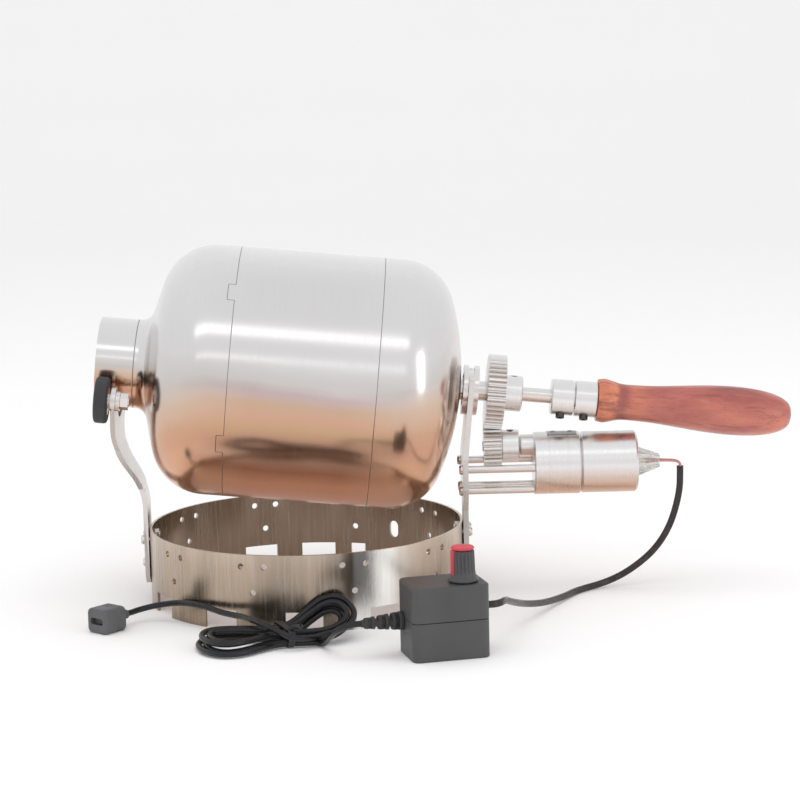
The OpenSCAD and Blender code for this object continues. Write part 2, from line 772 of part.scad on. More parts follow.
module gear_spacer() {
    from_s = bearing_s + bearing_w / 2 + seat;
    color("silver") turned_on_drum(from_s) tube(spacer_d / 2, shaft_d / 2 + fit, gear_s - from_s - seat);
}

// Involute gear outline, one tooth centred on +X
function involute(a) = tan(a) * 180 / PI - a;
function half_tooth(teeth, r) =
    let (pitch_r = gear_module * teeth / 2, base_r = pitch_r * cos(pressure_angle),
         a = acos(min(1, base_r / r)))
    90 / teeth - tooth_thin / 2 / pitch_r * 180 / PI + involute(pressure_angle) - involute(a);
function gear_outline(teeth) =
    let (pitch_r = gear_module * teeth / 2, root_r = pitch_r - dedendum,
         rs = [root_r, max(pitch_r * cos(pressure_angle), root_r + dedendum * 0.3), pitch_r,
             pitch_r + addendum])
    [for (k = [0:teeth - 1]) each concat(
        [for (i = [0:3]) let (a = k * 360 / teeth - half_tooth(teeth, rs[i])) rs[i] * [cos(a), sin(a)]],
        [for (i = [3:-1:0]) let (a = k * 360 / teeth + half_tooth(teeth, rs[i])) rs[i] * [cos(a), sin(a)]])];

module gear(teeth, hub_d, bore_d) {
    difference() {
        union() {
            linear_extrude(face_w) polygon(gear_outline(teeth));
            translate([0, 0, face_w]) soft_disc(hub_d / 2, hub_len);
        }
        translate([0, 0, -overrun]) cylinder(d = bore_d + 2 * fit, h = face_w + hub_len + 2 * overrun);
        translate([0, 0, face_w + hub_len / 2]) rotate([0, -90, 0]) cylinder(d = set_screw_d, h = hub_d);
    }
}

module hub_set_screw(hub_d, bore_d) {
    translate([0, 0, face_w + hub_len / 2]) rotate([0, -90, 0]) translate([0, 0, bore_d / 2 + seat])
        difference() {
        cylinder(d = set_screw_d - 2 * fit, h = (hub_d - bore_d) / 2 - set_screw_sink - seat);
        translate([0, 0, (hub_d - bore_d) / 4]) cylinder(d = set_screw_d / 2, h = hub_d, $fn = 6);
    }
}

module drive_gear() {
    color("gainsboro") turned_on_drum(gear_s) gear(gear_teeth, gear_hub_d, shaft_d);
}

module gear_set_screw() {
    color("dimgray") turned_on_drum(gear_s) hub_set_screw(gear_hub_d, shaft_d);
}

module at_pinion() {
    from_ring() translate([pinion_x, 0, pinion_z]) rotate([0, 90, 0]) rotate([0, 0, 180 / pinion_teeth])
        children();
}

module motor_pinion() {
    color("gainsboro") at_pinion() gear(pinion_teeth, pinion_hub_d, output_d);
}

module pinion_set_screw() {
    color("dimgray") at_pinion() hub_set_screw(pinion_hub_d, output_d);
}

module output_shaft() {
    len = gearbox_x + gearbox_len / 2 - pinion_x + edge_r;
    color("silver") at_pinion() translate([0, 0, -edge_r]) soft_disc(output_d / 2, len, edge_r / 2);
}

// Coupling between the drum's shaft and the handle's tang
module shaft_coupling() {
    color("gainsboro") turned_on_drum(handle_s - coupling_len) difference() {
        soft_disc(coupling_d / 2, coupling_len);
        translate([0, 0, -overrun]) cylinder(r = shaft_d / 2 + fit, h = coupling_len + 2 * overrun);
        translate([0, 0, (coupling_len - coupling_groove_w) / 2])
            tube(coupling_d, coupling_d / 2 - coupling_groove_d, coupling_groove_w);
        coupling_screw_places() cylinder(d = coupling_screw_d, h = coupling_d);
    }
}

module coupling_screw_places() {
    for (share = coupling_screw_shares) translate([0, 0, share * coupling_len])
        rotate([0, 0, coupling_screw_angle - 90]) rotate([0, 90, 0]) children();
}

module coupling_screws() {
    color("black") turned_on_drum(handle_s - coupling_len) coupling_screw_places()
        translate([0, 0, shaft_d / 2 + seat]) difference() {
            cylinder(d = coupling_screw_d - 2 * fit, h = coupling_d / 2 - shaft_d / 2 - seat
                + coupling_screw_rise);
            translate([0, 0, coupling_d / 4 - shaft_d / 4])
                cylinder(d = coupling_screw_d / 2, h = coupling_d, $fn = 6);
        }
}

module handle_tang() {
    color("silver") turned_on_drum(shaft_end_s + 2 * seat)
        soft_disc(shaft_d / 2, coupling_len / 2 + tang_len - seat, edge_r);
}

// Handle: a turned grip; stations as shares of its length and of its largest radius
handle_shares = [[0, 0.86], [0.035, 0.9], [0.07, 0.84], [0.12, 0.74], [0.2, 0.735], [0.3, 0.77], [0.42, 0.86],
                 [0.54, 0.95], [0.66, 1], [0.76, 0.985], [0.85, 0.91], [0.92, 0.77], [0.965, 0.59],
                 [0.99, 0.36], [1, 0]];
function hermite(p, i, t) =
    let (a = p[max(i - 1, 0)], b = p[i], c = p[i + 1], d = p[min(i + 2, len(p) - 1)],
         m0 = (c[1] - a[1]) / (c[0] - a[0]), m1 = (d[1] - b[1]) / (d[0] - b[0]), w = c[0] - b[0])
    (1 + 2 * t) * pow(1 - t, 2) * b[1] + t * pow(1 - t, 2) * m0 * w + t * t * (3 - 2 * t) * c[1]
        + t * t * (t - 1) * m1 * w;
handle_steps = 3;
handle_profile = [for (i = [0:len(handle_shares) - 3]) each [for (j = [0:handle_steps - 1])
    let (t = j / handle_steps, b = handle_shares[i], c = handle_shares[i + 1])
    [hermite(handle_shares, i, t) * handle_d / 2, (b[0] + (c[0] - b[0]) * t) * handle_len]]];

module wooden_handle() {
    last = handle_shares[len(handle_shares) - 2];
    color("saddlebrown") turned_on_drum(handle_s + seat) difference() {
        rotate_extrude() polygon(concat([[0, 0]], handle_profile,
            [[last[1] * handle_d / 2, last[0] * handle_len], [0, handle_len]]));
        translate([0, 0, -overrun]) cylinder(d = shaft_d + 2 * fit, h = tang_len + overrun + 2 * seat);
    }
}

// Right arm: bent sheet with the motor's holes below and the open slot above
bearing_point = drum_point(bearing_s, 0);
right_mid_x = right_arm_x + right_arm_t / 2;
right_bend_up = (right_mid_x - bearing_point[0]) / sin(tilt);
right_bend_z = bearing_point[1] + right_bend_up * cos(tilt);
right_path = bent_path([[right_mid_x, arm_foot_z], [right_mid_x, right_bend_z],
                        drum_point(bearing_s, drum_r)], right_bend_r);
fork_r = slot_r + fork_wall;
fork_tip_z = bearing_point[1] + fork_rise;
plate_top_z = motor_z + standoff_d;
plate_low_z = motor_z - standoff_circle_d / 2 - standoff_d;

module right_arm_outline() {
    tip_r = fork_wall / 2;
    difference() {
        union() {
            polygon([[-arm_w / 2, arm_foot_z + bend_r], [-arm_w / 2 + bend_r, arm_foot_z],
                     [arm_w / 2 - bend_r, arm_foot_z], [arm_w / 2, arm_foot_z + bend_r],
                     [arm_w / 2, plate_low_z - standoff_d], [motor_plate_w / 2, plate_low_z + 2 * standoff_d],
                     [motor_plate_w / 2, plate_top_z + standoff_d / 2],
                     [fork_r, plate_top_z + 3 * standoff_d],
                     [fork_r, fork_tip_z - tip_r], [-fork_r, fork_tip_z - tip_r],
                     [-fork_r, plate_top_z + 3 * standoff_d],
                     [-motor_plate_w / 2, plate_top_z + standoff_d / 2],
                     [-motor_plate_w / 2, plate_low_z + 2 * standoff_d],
                     [-arm_w / 2, plate_low_z - standoff_d]]);
            for (side = [-1, 1]) translate([side * (fork_r - tip_r), fork_tip_z - tip_r]) circle(r = tip_r);
        }
        translate([0, bearing_point[1]]) circle(r = slot_r);
        translate([-slot_r, bearing_point[1]]) square([2 * slot_r, drum_r]);
    }
}

module standoff_places(x) {
    from_ring() for (a = standoff_angles)
        translate([x, standoff_circle_d / 2 * sin(a), motor_z - standoff_circle_d / 2 * cos(a)])
            rotate([0, 90, 0]) children();
}

module right_arm() {
    color("gainsboro") difference() {
        from_ring() intersection() {
            translate([0, ring_r, 0]) rotate([90, 0, 0]) linear_extrude(2 * ring_r)
                polygon(sheet_outline(right_path, right_arm_t));
            rotate([90, 0, 90]) linear_extrude(ring_d) right_arm_outline();
        }
        arm_screw_places(1) translate([0, 0, -overrun - right_arm_t])
            cylinder(d = ring_hole_d, h = 2 * right_arm_t + 2 * overrun);
        standoff_places(right_arm_x - overrun) cylinder(d = screw_d + 4 * fit, h = right_arm_t + 2 * overrun);
    }
}

module motor_standoffs() {
    len = gearbox_x - right_arm_x - right_arm_t - 2 * seat;
    color("silver") standoff_places(right_arm_x + right_arm_t + seat) difference() {
        cylinder(d = standoff_d, h = len);
        translate([0, 0, -overrun]) cylinder(d = screw_d + 2 * fit, h = screw_d * 2 + overrun);
    }
}

module standoff_screws() {
    color("silver") standoff_places(right_arm_x - seat / 2) pan_screw(screw_d, right_arm_t + screw_d * 1.8);
}

// Gear motor
module gearbox() {
    color("gainsboro") from_motor() difference() {
        union() {
            soft_disc(gearbox_d / 2, gearbox_len);
            translate([-output_offset, 0, -boss_len]) soft_disc(boss_d / 2, boss_len + overrun);
        }
        translate([-output_offset, 0, -boss_len - overrun])
            cylinder(d = output_d + 2 * fit, h = boss_len + gearbox_len / 2 + 2 * overrun + edge_r);
        for (z = [0.3, 0.72]) translate([0, 0, z * gearbox_len])
            tube(gearbox_d, gearbox_d / 2 - seam_bead_h, coupling_groove_w / 2);
    }
}

module motor_can() {
    color("silver") from_motor() difference() {
        translate([0, 0, gearbox_len + seat]) soft_disc(motor_d / 2, motor_len, can_edge_r);
        translate([0, 0, can_end - end_cap_t]) cylinder(r = motor_d * end_cap_share / 2 + seat,
            h = end_cap_t + overrun);
    }
}

module motor_end_cap() {
    color("dimgray") from_motor() translate([0, 0, can_end - end_cap_t + seat]) difference() {
        soft_disc(motor_d * end_cap_share / 2, end_cap_t - seat);
        for (side = [-1, 1]) translate([0, side * terminal_gap / 2, end_cap_t / 2])
            cube([terminal_t + 2 * seat, terminal_w + 2 * seat, end_cap_t + 2 * overrun], center = true);
    }
}

module motor_terminals() {
    color("goldenrod") from_motor() for (side = [-1, 1])
        translate([-terminal_t / 2, side * terminal_gap / 2 - terminal_w / 2, can_end - end_cap_t + seat])
            cube([terminal_t, terminal_w, terminal_len]);
}

// Clear boot over the terminals, a tapered sleeve with an open end
module boot_solid(grow, from_z, len) {
    translate([0, 0, from_z]) hull() {
        linear_extrude(seat) square([boot_root_h + 2 * grow, boot_root_w + 2 * grow], center = true);
        translate([0, 0, len - seat]) linear_extrude(seat)
            square([boot_tip_h + 2 * grow, boot_tip_w + 2 * grow], center = true);
    }
}

module terminal_boot() {
    color("whitesmoke") from_motor() translate([0, 0, can_end + seat]) difference() {
        boot_solid(0, 0, boot_len);
        boot_solid(-boot_wall, -overrun, boot_len + 2 * overrun);
    }
}

// Round tube swept along a route: rings square to the route, flat ends
function tangent(p, i) = unit(p[min(i + 1, len(p) - 1)] - p[max(i - 1, 0)]);
function first_side(t) = unit(abs(t[2]) > 0.9 ? cross([0, 1, 0], t) : cross([0, 0, 1], t));
function carried(u, t) = unit(u - (u * t) * t);
function ring_sides(p) = [for (i = 0, u = first_side(tangent(p, 0)); i < len(p);
    u = carried(u, tangent(p, min(i + 1, len(p) - 1))), i = i + 1) u];

module swept(p, d, sides) {
    n = len(p);
    us = ring_sides(p);
    pts = [for (i = [0:n - 1]) let (t = tangent(p, i), u = us[i], v = cross(t, u))
        each [for (k = [0:sides - 1]) let (a = 360 * (k + 0.5) / sides) p[i]
            + d / 2 * (u * cos(a) + v * sin(a))]];
    walls = [for (i = [0:n - 2], k = [0:sides - 1])
        let (a = i * sides + k, b = i * sides + (k + 1) % sides) each [[a, a + sides, b],
            [b, a + sides, b + sides]]];
    caps = concat([for (k = [1:sides - 2]) [0, k, k + 1]],
                  [for (k = [1:sides - 2]) [(n - 1) * sides, (n - 1) * sides + k + 1, (n - 1) * sides + k]]);
    polyhedron(pts, concat(walls, caps));
}

// Hank of the supply cord: loops drawn in at the waist, two layers, spiralling in and out again.
// It lies flat on its left half and leans up against the ring on its right half.
hank_place = [-14, -111];
hank_turn = 20;
hank_waist = 10.4;
hank_bulge = 29;
hank_round = 0.35;          // how far the ends are drawn in, as a share
hank_skew = 0.25;           // how much slimmer the right half is, as a share
hank_step = 4.05;
hank_waist_step = 0.3;      // added to the step at the waist
hank_layer = 4.6;
hank_start_angle = 70;
hank_lean = 30;
hank_lean_from = 6;
hank_lean_len = 32;
hank_lean_rise = 7;
hank_rings = 24;
tie_wall = 0.8;
tie_from = 1.5;
tie_w = 6;
tie_room = 1.6;             // between the tie and the hank's sides
hank_back = hank_loops / 2 + (90 - hank_start_angle) / 360;
hank_end = hank_loops - 0.055;
hank_count = ceil(hank_end * hank_rings);
function eased(q) = let (c = min(1, max(0, q))) c * c * (3 - 2 * c);
function hank_edge(a) = [hank_half_len * cos(a) * (1 - hank_round * pow(sin(a), 2)),
    -(hank_waist + hank_bulge * pow(cos(a), 2) * (1 - hank_skew * cos(a))) * sin(a)];
function hank_inward(a) = let (t = unit(hank_edge(a + 0.5) - hank_edge(a - 0.5))) [t[1], -t[0]];
function hank_inset(u) = u < hank_back ? u : 2 * hank_back - u;
function hank_level(u) = eased((u - hank_back + 0.25) / 0.5);
function hank_point(u) =
    let (a = hank_start_angle + 360 * u,
         q = hank_edge(a) + hank_inward(a) * hank_inset(u) * (hank_step + hank_waist_step * pow(sin(a), 2)),
         up = hank_layer * hank_level(u), e = eased((q[0] - hank_lean_from) / hank_lean_len),
             lean = hank_lean * e,
         y = q[1] * cos(lean) - up * sin(lean),
         z = cord_d / 2 + tie_wall + q[1] * sin(lean) + up * cos(lean)
             + (hank_waist + hank_lean_rise * e) * sin(lean))
    [hank_place[0] + q[0] * cos(hank_turn) - y * sin(hank_turn),
    hank_place[1] + q[0] * sin(hank_turn) + y * cos(hank_turn), z];
hank_run = [for (i = [0:hank_count]) hank_point(i * hank_end / hank_count)];
hank_in = hank_run[0] + unit(hank_run[0] - hank_run[1]) * cord_d;
hank_in_2 = hank_run[0] + unit(hank_run[0] - hank_run[1]) * 2 * cord_d;
hank_last = len(hank_run) - 1;
hank_out = hank_run[hank_last] + unit(hank_run[hank_last] - hank_run[hank_last - 1]) * cord_d;
hank_out_2 = hank_run[hank_last] + unit(hank_run[hank_last] - hank_run[hank_last - 1]) * 2 * cord_d;
hank_route = concat([hank_in], hank_run, [hank_out]);
function to_piece(p, a, b) = let (v = b - a, t = min(1, max(0, (p - a) * v / (v * v)))) norm(p - a - t * v);
hank_gap = min([for (i = [0:hank_last], j = [0:hank_last - 1])
    if (abs(i - j) > hank_rings / 4 && abs(i - j - 1) > hank_rings / 4)
        to_piece(hank_run[i], hank_run[j], hank_run[j + 1])]) - cord_d;
echo(hank_gap = hank_gap);

// Routes of the free cords, from the ring's middle on the table
supply_route = [[22, -145.2, 17], [18.3, -142.8, 14.6], [15.6, -137.6, 11.2], [13.7, -131.2, 7.6],
                [12, -125.5, 4.3],
                [9.8, -121, 2.2]];
plug_route = [[0.2, -125.3, 6.4], [-5.2, -126.8, 7.3], [-10.8, -125.9, 9.3], [-16, -122, 11.2],
              [-21, -116.5, 12.3],
              [-25, -111, 12.6], [-29, -104.5, 12.4], [-33, -98, 12], [-38.5, -91.5, 11.6], [-45, -85, 11.7],
              [-52.5, -77, 12.5], [-60, -69.5, 12.5], [-67.5, -61.8, 11.6], [-75, -57, 10.2],
              [-83, -54.8, 8.6],
              [-90, -56.2, 7.3]];
motor_route = [[212, 0, 69], [212, 0, 65], [211.6, 0, 56], [209.6, 0, 46], [206.3, 0, 36], [201.5, 0, 27],
               [195.5, 0, 19.5],
               [188, 0, 13], [180, -0.5, 7.8], [172, -1.5, 4.2], [164, -5, 2.4], [156.5, -11, 2],
               [150, -19, 2.1],
               [143.5, -31, 2.6], [137, -43, 3.6], [130.5, -56, 5.4], [124, -69, 8], [118, -82, 11.3],
               [113.5, -95, 15],
               [109.5, -107.5, 18.8], [106.6, -117.5, 22], [104.6, -125.5, 23.7], [102.8, -130.4, 24.1]];
plug_x = -106.5;
plug_y = -74;
plug_turn = 229;
plug_relief_len = 6;
plug_relief_d = 6;
plug_r = 2.5;
plug_port_w = 9;
plug_port_h = 3.2;

// Control box
module rounded_plan(w, d, r) {
    for (x = [-1, 1], y = [-1, 1]) translate([x * (w / 2 - r), y * (d / 2 - r)]) circle(r = r);
    square([w - 2 * r, d], center = true);
    square([w, d - 2 * r], center = true);
}

module box_shell(from_z, to_z) {
    translate([0, 0, from_z]) linear_extrude(to_z - from_z) difference() {
        rounded_plan(box_w, box_d, box_r);
        rounded_plan(box_w - 2 * box_wall, box_d - 2 * box_wall, box_r - box_wall / 2);
    }
}

module box_plate(from_z, to_z) {
    translate([0, 0, from_z]) linear_extrude(to_z - from_z) rounded_plan(box_w, box_d, box_r);
}

// Holes for the strain relief and for the motor lead's grommet
module cord_holes() {
    translate([-box_w / 2, relief_v, relief_z]) rotate([0, 90, 0])
        cylinder(r = relief_root_d / 2 + seat, h = 2 * box_wall + overrun, center = true);
    translate([box_w / 2, 0, lead_exit_z]) rotate([0, 90, 0])
        cylinder(r = grommet_d / 2 - box_wall / 2 + seat, h = 2 * box_wall + overrun, center = true);
}

module lead_grommet() {
    color("#2a2a2c") from_box() translate([box_w / 2, 0, lead_exit_z]) rotate([0, 90, 0]) rotate_extrude()
        polygon([[0, -box_wall - seat], [grommet_d / 2 - box_wall / 2, -box_wall - seat],
                 [grommet_d / 2 - box_wall / 2, seat / 2],
                 [grommet_d / 2, seat / 2], [grommet_d / 2, grommet_len - edge_r],
                 [grommet_d / 2 - edge_r, grommet_len],
                 [0, grommet_len]]);
}

module box_lower_case() {
    color("#2a2a2c") from_box() difference() {
        union() {
            box_plate(0, box_wall);
            box_shell(0, box_seam_z - seam_gap);
            for (x = [-1, 1]) translate([x * box_w / 4, 0, box_wall / 2])
                cylinder(d = post_d, h = box_wall / 2 + post_h);
        }
        cord_holes();
    }
}

module box_upper_case() {
    color("#2a2a2c") from_box() difference() {
        union() {
            box_plate(box_h - box_wall, box_h);
            box_shell(box_seam_z + seam_gap, box_h);
        }
        cord_holes();
        translate([knob_u, knob_v, box_h - box_wall - overrun])
            cylinder(d = pot_bush_d + air, h = box_wall + 2 * overrun);
    }
}

module circuit_board() {
    color("darkgreen") from_box() translate([0, 0, box_wall + post_h + seat / 2]) difference() {
        translate([-box_w / 2 + box_wall + air, -box_d / 2 + box_wall + air, 0])
            cube([box_w - 2 * box_wall - 2 * air, box_d - 2 * box_wall - 2 * air, board_t]);
        for (x = [-1, 1], y = [-1, 1])
            translate([x * (box_w / 2 - box_wall - board_notch_in),
                y * (box_d / 2 - box_wall - board_notch_in), -overrun])
                cylinder(d = board_notch_d, h = board_t + 2 * overrun);
    }
}

module potentiometer() {
    top = box_h - box_wall - seat;
    color("silver") from_box() translate([knob_u, knob_v, 0]) difference() {
        union() {
            translate([0, 0, top - pot_h]) cylinder(d = pot_d, h = pot_h);
            translate([0, 0, top - overrun]) cylinder(d = pot_bush_d, h = overrun + box_wall + seat
                - seam_gap);
        }
        translate([0, 0, top - pot_h / 2]) cylinder(d = pot_shaft_d + 2 * fit, h = pot_h);
    }
}

module knob_shaft() {
    from_z = box_h - box_wall - seat - pot_h / 2 + seat;
    color("silver") from_box() translate([knob_u, knob_v, from_z])
        soft_disc(pot_shaft_d / 2, box_h + air + pot_shaft_len - from_z, edge_r / 2);
}

module at_knob() {
    from_box() translate([knob_u, knob_v, box_h + air]) children();
}

module control_knob() {
    top_r = knob_d / 2 * knob_top_share;
    body_h = knob_h - cap_h - air;
    color("#303033") at_knob() difference() {
        union() {
            soft_disc(knob_skirt_d / 2, knob_skirt_h, edge_r / 2);
            difference() {
                translate([0, 0, edge_r]) cylinder(r1 = knob_d / 2, r2 = top_r, h = body_h - edge_r);
                for (k = [0:knob_rib_count - 1]) rotate([0, 0, pointer_angle
                    + (k + 0.5) * 360 / knob_rib_count])
                    translate([knob_d / 2 + knob_rib_d * 0.1, 0, edge_r * 2])
                        cylinder(d = knob_rib_d, h = knob_h);
            }
        }
        translate([0, 0, -overrun]) cylinder(d = pot_shaft_d + 2 * fit, h = pot_shaft_len + overrun + seat);
        // slot for the pointer
        rotate([0, 0, pointer_angle]) translate([knob_d / 2 * 0.72, -pointer_w / 2 - seat,
            knob_skirt_h + seat])
            cube([knob_d, pointer_w + 2 * seat, knob_h]);
    }
}

module knob_cap() {
    top_r = knob_d / 2 * knob_top_share;
    color("crimson") at_knob() {
        translate([0, 0, knob_h - cap_h]) soft_disc(top_r, cap_h, edge_r);
        rotate([0, 0, pointer_angle]) translate([knob_d / 2 * 0.72 + seat, -pointer_w / 2,
            knob_skirt_h + 2 * seat])
            cube([knob_d / 2 * 0.28 - seat + edge_r / 4, pointer_w,
                knob_h - cap_h - knob_skirt_h - 2 * seat]);
    }
}

// Ribbed strain relief on the box's left side
module strain_relief() {
    rib_pitch = relief_len / (relief_rib_count + 1);
    root_len = box_wall + relief_grip;
    function relief_r(z) = (relief_root_d + (relief_tip_d - relief_root_d) * z / relief_len) / 2;
    color("#2a2a2c") from_box() translate([-box_w / 2, relief_v, relief_z]) rotate([0, -90, 0]) difference() {
        union() {
            translate([0, 0, -root_len]) cylinder(d = relief_root_d, h = root_len + seat);
            cylinder(d1 = relief_root_d * 0.86, d2 = relief_tip_d * 0.92, h = relief_len);
            for (k = [0:relief_rib_count - 1]) translate([0, 0, (k + 0.35) * rib_pitch])
                cylinder(r1 = relief_r(k * rib_pitch), r2 = relief_r((k + 1) * rib_pitch),
                    h = rib_pitch * 0.6);
        }
        translate([0, 0, -root_len - overrun]) cylinder(d = cord_d + 2 * fit, h = root_len + overrun);
    }
}

// Cords: the free ends of the supply cord, its tied hank, its plug, and the motor's lead
function box_point(u, v, z) = [box_x + u * cos(box_turn) - v * sin(box_turn),
    box_y + u * sin(box_turn) + v * cos(box_turn), z];

module supply_lead() {
    relief_tip = box_point(-box_w / 2 - relief_len, relief_v, relief_z);
    relief_run = box_point(-box_w / 2 - relief_len - cord_d, relief_v, relief_z);
    color("#262628") from_ring() swept(concat([relief_tip, relief_run], supply_route, [hank_in_2, hank_in]),
        cord_d, 8);
}

module supply_hank() {
    color("#262628") from_ring() swept(hank_route, cord_d, 6);
}

module cord_tie() {
    half = hank_waist + cord_d / 2 + tie_room;
    top = cord_d + hank_layer + tie_wall + tie_room / 3;
    color("black") from_ring() translate([hank_place[0], hank_place[1], 0]) rotate([0, 0, hank_turn])
        translate([tie_from, 0, 0]) rotate([90, 0, 90]) linear_extrude(tie_w) difference() {
            translate([-half - tie_wall, 0]) square([2 * (half + tie_wall), top + tie_wall]);
            translate([-half, tie_wall - seat / 2]) square([2 * half, top - tie_wall + seat / 2]);
        }
}

plug_axis = [cos(plug_turn), sin(plug_turn), 0];
plug_root = [plug_x, plug_y, plug_h / 2] - plug_axis * (plug_len / 2 + plug_relief_len);

module plug_lead() {
    color("#262628") from_ring()
        swept(concat([hank_out, hank_out_2], plug_route, [plug_root - plug_axis * cord_d * 1.2, plug_root]),
            cord_d, 8);
}

module plug_body() {
    color("#4a4a4e") from_ring() translate([plug_x, plug_y, plug_h / 2]) rotate([0, 0, plug_turn])
        difference() {
        union() {
            translate([-plug_len / 2, 0, 0]) rotate([90, 0, 90]) linear_extrude(plug_len)
                rounded_plan(plug_w, plug_h, plug_r);
            translate([-plug_len / 2 - plug_relief_len, 0, 0]) rotate([0, 90, 0])
                cylinder(d1 = plug_relief_d * 0.8, d2 = plug_relief_d, h = plug_relief_len + overrun);
        }
        translate([plug_len / 2 - plug_len * 0.4, 0, 0]) rotate([90, 0, 90]) linear_extrude(plug_len) {
            for (side = [-1, 1]) translate([side * (plug_port_w - plug_port_h) / 2, 0])
                circle(d = plug_port_h);
            square([plug_port_w - plug_port_h, plug_port_h], center = true);
        }
    }
}

module motor_lead() {
    face = box_w / 2 + grommet_len;
    color("#3a3030") from_ring()
        swept(concat(motor_route, [box_point(face + lead_d * 1.2, 0, lead_exit_z),
            box_point(face, 0, lead_exit_z)]), lead_d, 8);
}

// Two thin wires from the motor's terminals to the top of its lead
wire_d = 1.4;
// shares: along the way to the lead, of the terminals' half gap, and down to the lead's top
wire_shares = [[0, 1, 0], [0.07, 1, 0], [0.2, 0.62, 0], [0.36, 0.34, 0], [0.62, 0.22, 0.02],
               [0.84, 0.19, 0.12],
               [0.96, 0.18, 0.4], [1, 0.18, 0.72], [1, 0.18, 1]];
module motor_wires() {
    start_x = gearbox_x + can_end - end_cap_t + seat + terminal_len;
    top = motor_route[0];
    color("firebrick") from_ring() for (side = [-1, 1])
        swept([for (w = wire_shares) [start_x + seat + w[0] * (top[0] - start_x - seat),
                                      side * w[1] * terminal_gap / 2,
                                      motor_z + w[2] * (top[2] - motor_z)]], wire_d, 8);
}

base_ring();
left_arm();
right_arm();
arm_screws();
arm_nuts();
front_roller_tyre();
rear_roller_tyre();
front_roller_hub();
rear_roller_hub();
roller_sleeves();
roller_bolts();
roller_washers();
roller_nuts();
neck_collar();
drum_front_shell();
drum_body();
seam_sleeve();
drum_rear_dome();
mixing_vanes();
shaft_flange();
drum_shaft();
shaft_nut();
shaft_washer();
bearing_outer_ring();
bearing_inner_ring();
bearing_balls();
bearing_shields();
gear_spacer();
drive_gear();
gear_set_screw();
motor_pinion();
pinion_set_screw();
output_shaft();
shaft_coupling();
coupling_screws();
handle_tang();
wooden_handle();
motor_standoffs();
standoff_screws();
gearbox();
motor_can();
motor_end_cap();
motor_terminals();
terminal_boot();
box_lower_case();
box_upper_case();
circuit_board();
potentiometer();
knob_shaft();
control_knob();
knob_cap();
strain_relief();
lead_grommet();
supply_lead();
supply_hank();
cord_tie();
plug_lead();
plug_body();
motor_lead();
motor_wires();
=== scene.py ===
# Coffee bean roaster: the look of its parts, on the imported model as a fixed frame
import bpy, bmesh, math
from mathutils import Matrix, Vector


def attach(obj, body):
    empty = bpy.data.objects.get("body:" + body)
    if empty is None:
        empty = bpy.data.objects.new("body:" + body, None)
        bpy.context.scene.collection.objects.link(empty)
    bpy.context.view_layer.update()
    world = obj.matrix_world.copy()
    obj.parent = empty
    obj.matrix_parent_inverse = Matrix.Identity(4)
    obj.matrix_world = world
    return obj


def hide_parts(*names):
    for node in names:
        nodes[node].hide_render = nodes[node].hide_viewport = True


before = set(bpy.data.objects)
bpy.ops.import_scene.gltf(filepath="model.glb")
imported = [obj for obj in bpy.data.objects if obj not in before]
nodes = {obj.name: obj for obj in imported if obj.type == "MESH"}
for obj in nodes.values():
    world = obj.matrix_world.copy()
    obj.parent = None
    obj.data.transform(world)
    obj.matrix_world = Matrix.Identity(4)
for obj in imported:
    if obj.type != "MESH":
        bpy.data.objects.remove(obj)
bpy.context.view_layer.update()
MM = 0.001

# Places in mm: the ring's middle on the table, the drum's axis, the control box and the motor
RING = Vector((-79.5114, 34.8325, 0.0))
TILT = math.radians(6.0)
AXIS_H = 125.0
BOX = Vector((73.2, -139.5, 0.0))
BOX_TURN = math.radians(14.0)
BOX_W, BOX_D, BOX_H, BOX_R, BOX_SEAM = 41.0, 30.0, 38.5, 4.0, 20.2
KNOB = (9.0, -5.0)
MOTOR_Z = 72.4937


def on_table(p):
    """A point measured from the ring's middle in mm, as a point of the frame in metres."""
    return (Vector(p) + RING) * MM


def on_drum(s, y, up):
    """A point s along the drum's axis, y to the back and up from it."""
    x = s * math.cos(TILT) + up * math.sin(TILT)
    return on_table((x, y, AXIS_H - s * math.sin(TILT) + up * math.cos(TILT)))


def on_box(u, v, z):
    """A point of the control box: u to its right, v to its back."""
    turned = Matrix.Rotation(BOX_TURN, 3, "Z") @ Vector((u, v, z))
    return BOX + turned


def circle(count, start=0.0, end=None):
    """Cosine and sine at equal steps round a circle, or from a start to an end, in degrees."""
    span, number = (360, count) if end is None else (end - start, count + 1)
    turns = [math.radians(start + span * k / count) for k in range(number)]
    return [(math.cos(a), math.sin(a)) for a in turns]


# Camera, a little above the table and in front, its place in mm from the ring's middle
CAMERA_PLACE = (39.9, -1375.9, 328.1)
YAW, PITCH, ROLL = (math.radians(a) for a in (0.61, -8.99, -1.32))
LENS, SENSOR = 111.5, 36.0
NEAREST, FARTHEST = 0.05, 30.0
camera = bpy.data.objects.new("camera", bpy.data.cameras.new("camera"))
bpy.context.scene.collection.objects.link(camera)
bpy.context.scene.camera = camera
ahead = Vector((math.sin(YAW) * math.cos(PITCH), math.cos(YAW) * math.cos(PITCH), math.sin(PITCH)))
level = Vector((math.cos(YAW), -math.sin(YAW), 0.0))
above = level.cross(ahead)
right = level * math.cos(ROLL) + above * math.sin(ROLL)
up = above * math.cos(ROLL) - level * math.sin(ROLL)
turned = Matrix((right, up, -ahead)).transposed().to_4x4()
camera.matrix_world = Matrix.Translation(on_table(CAMERA_PLACE)) @ turned
camera.data.sensor_width, camera.data.lens = SENSOR, LENS
camera.data.clip_start, camera.data.clip_end = NEAREST, FARTHEST

# Meshes
UV_PER_METRE = 100.0


def piece(name, mesh, body, material):
    """A new piece on its body, from a mesh that already lies in its place."""
    made = bpy.data.objects.new(name, mesh)
    bpy.context.scene.collection.objects.link(made)
    mesh.materials.clear()
    mesh.materials.append(material)
    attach(made, body)
    return made


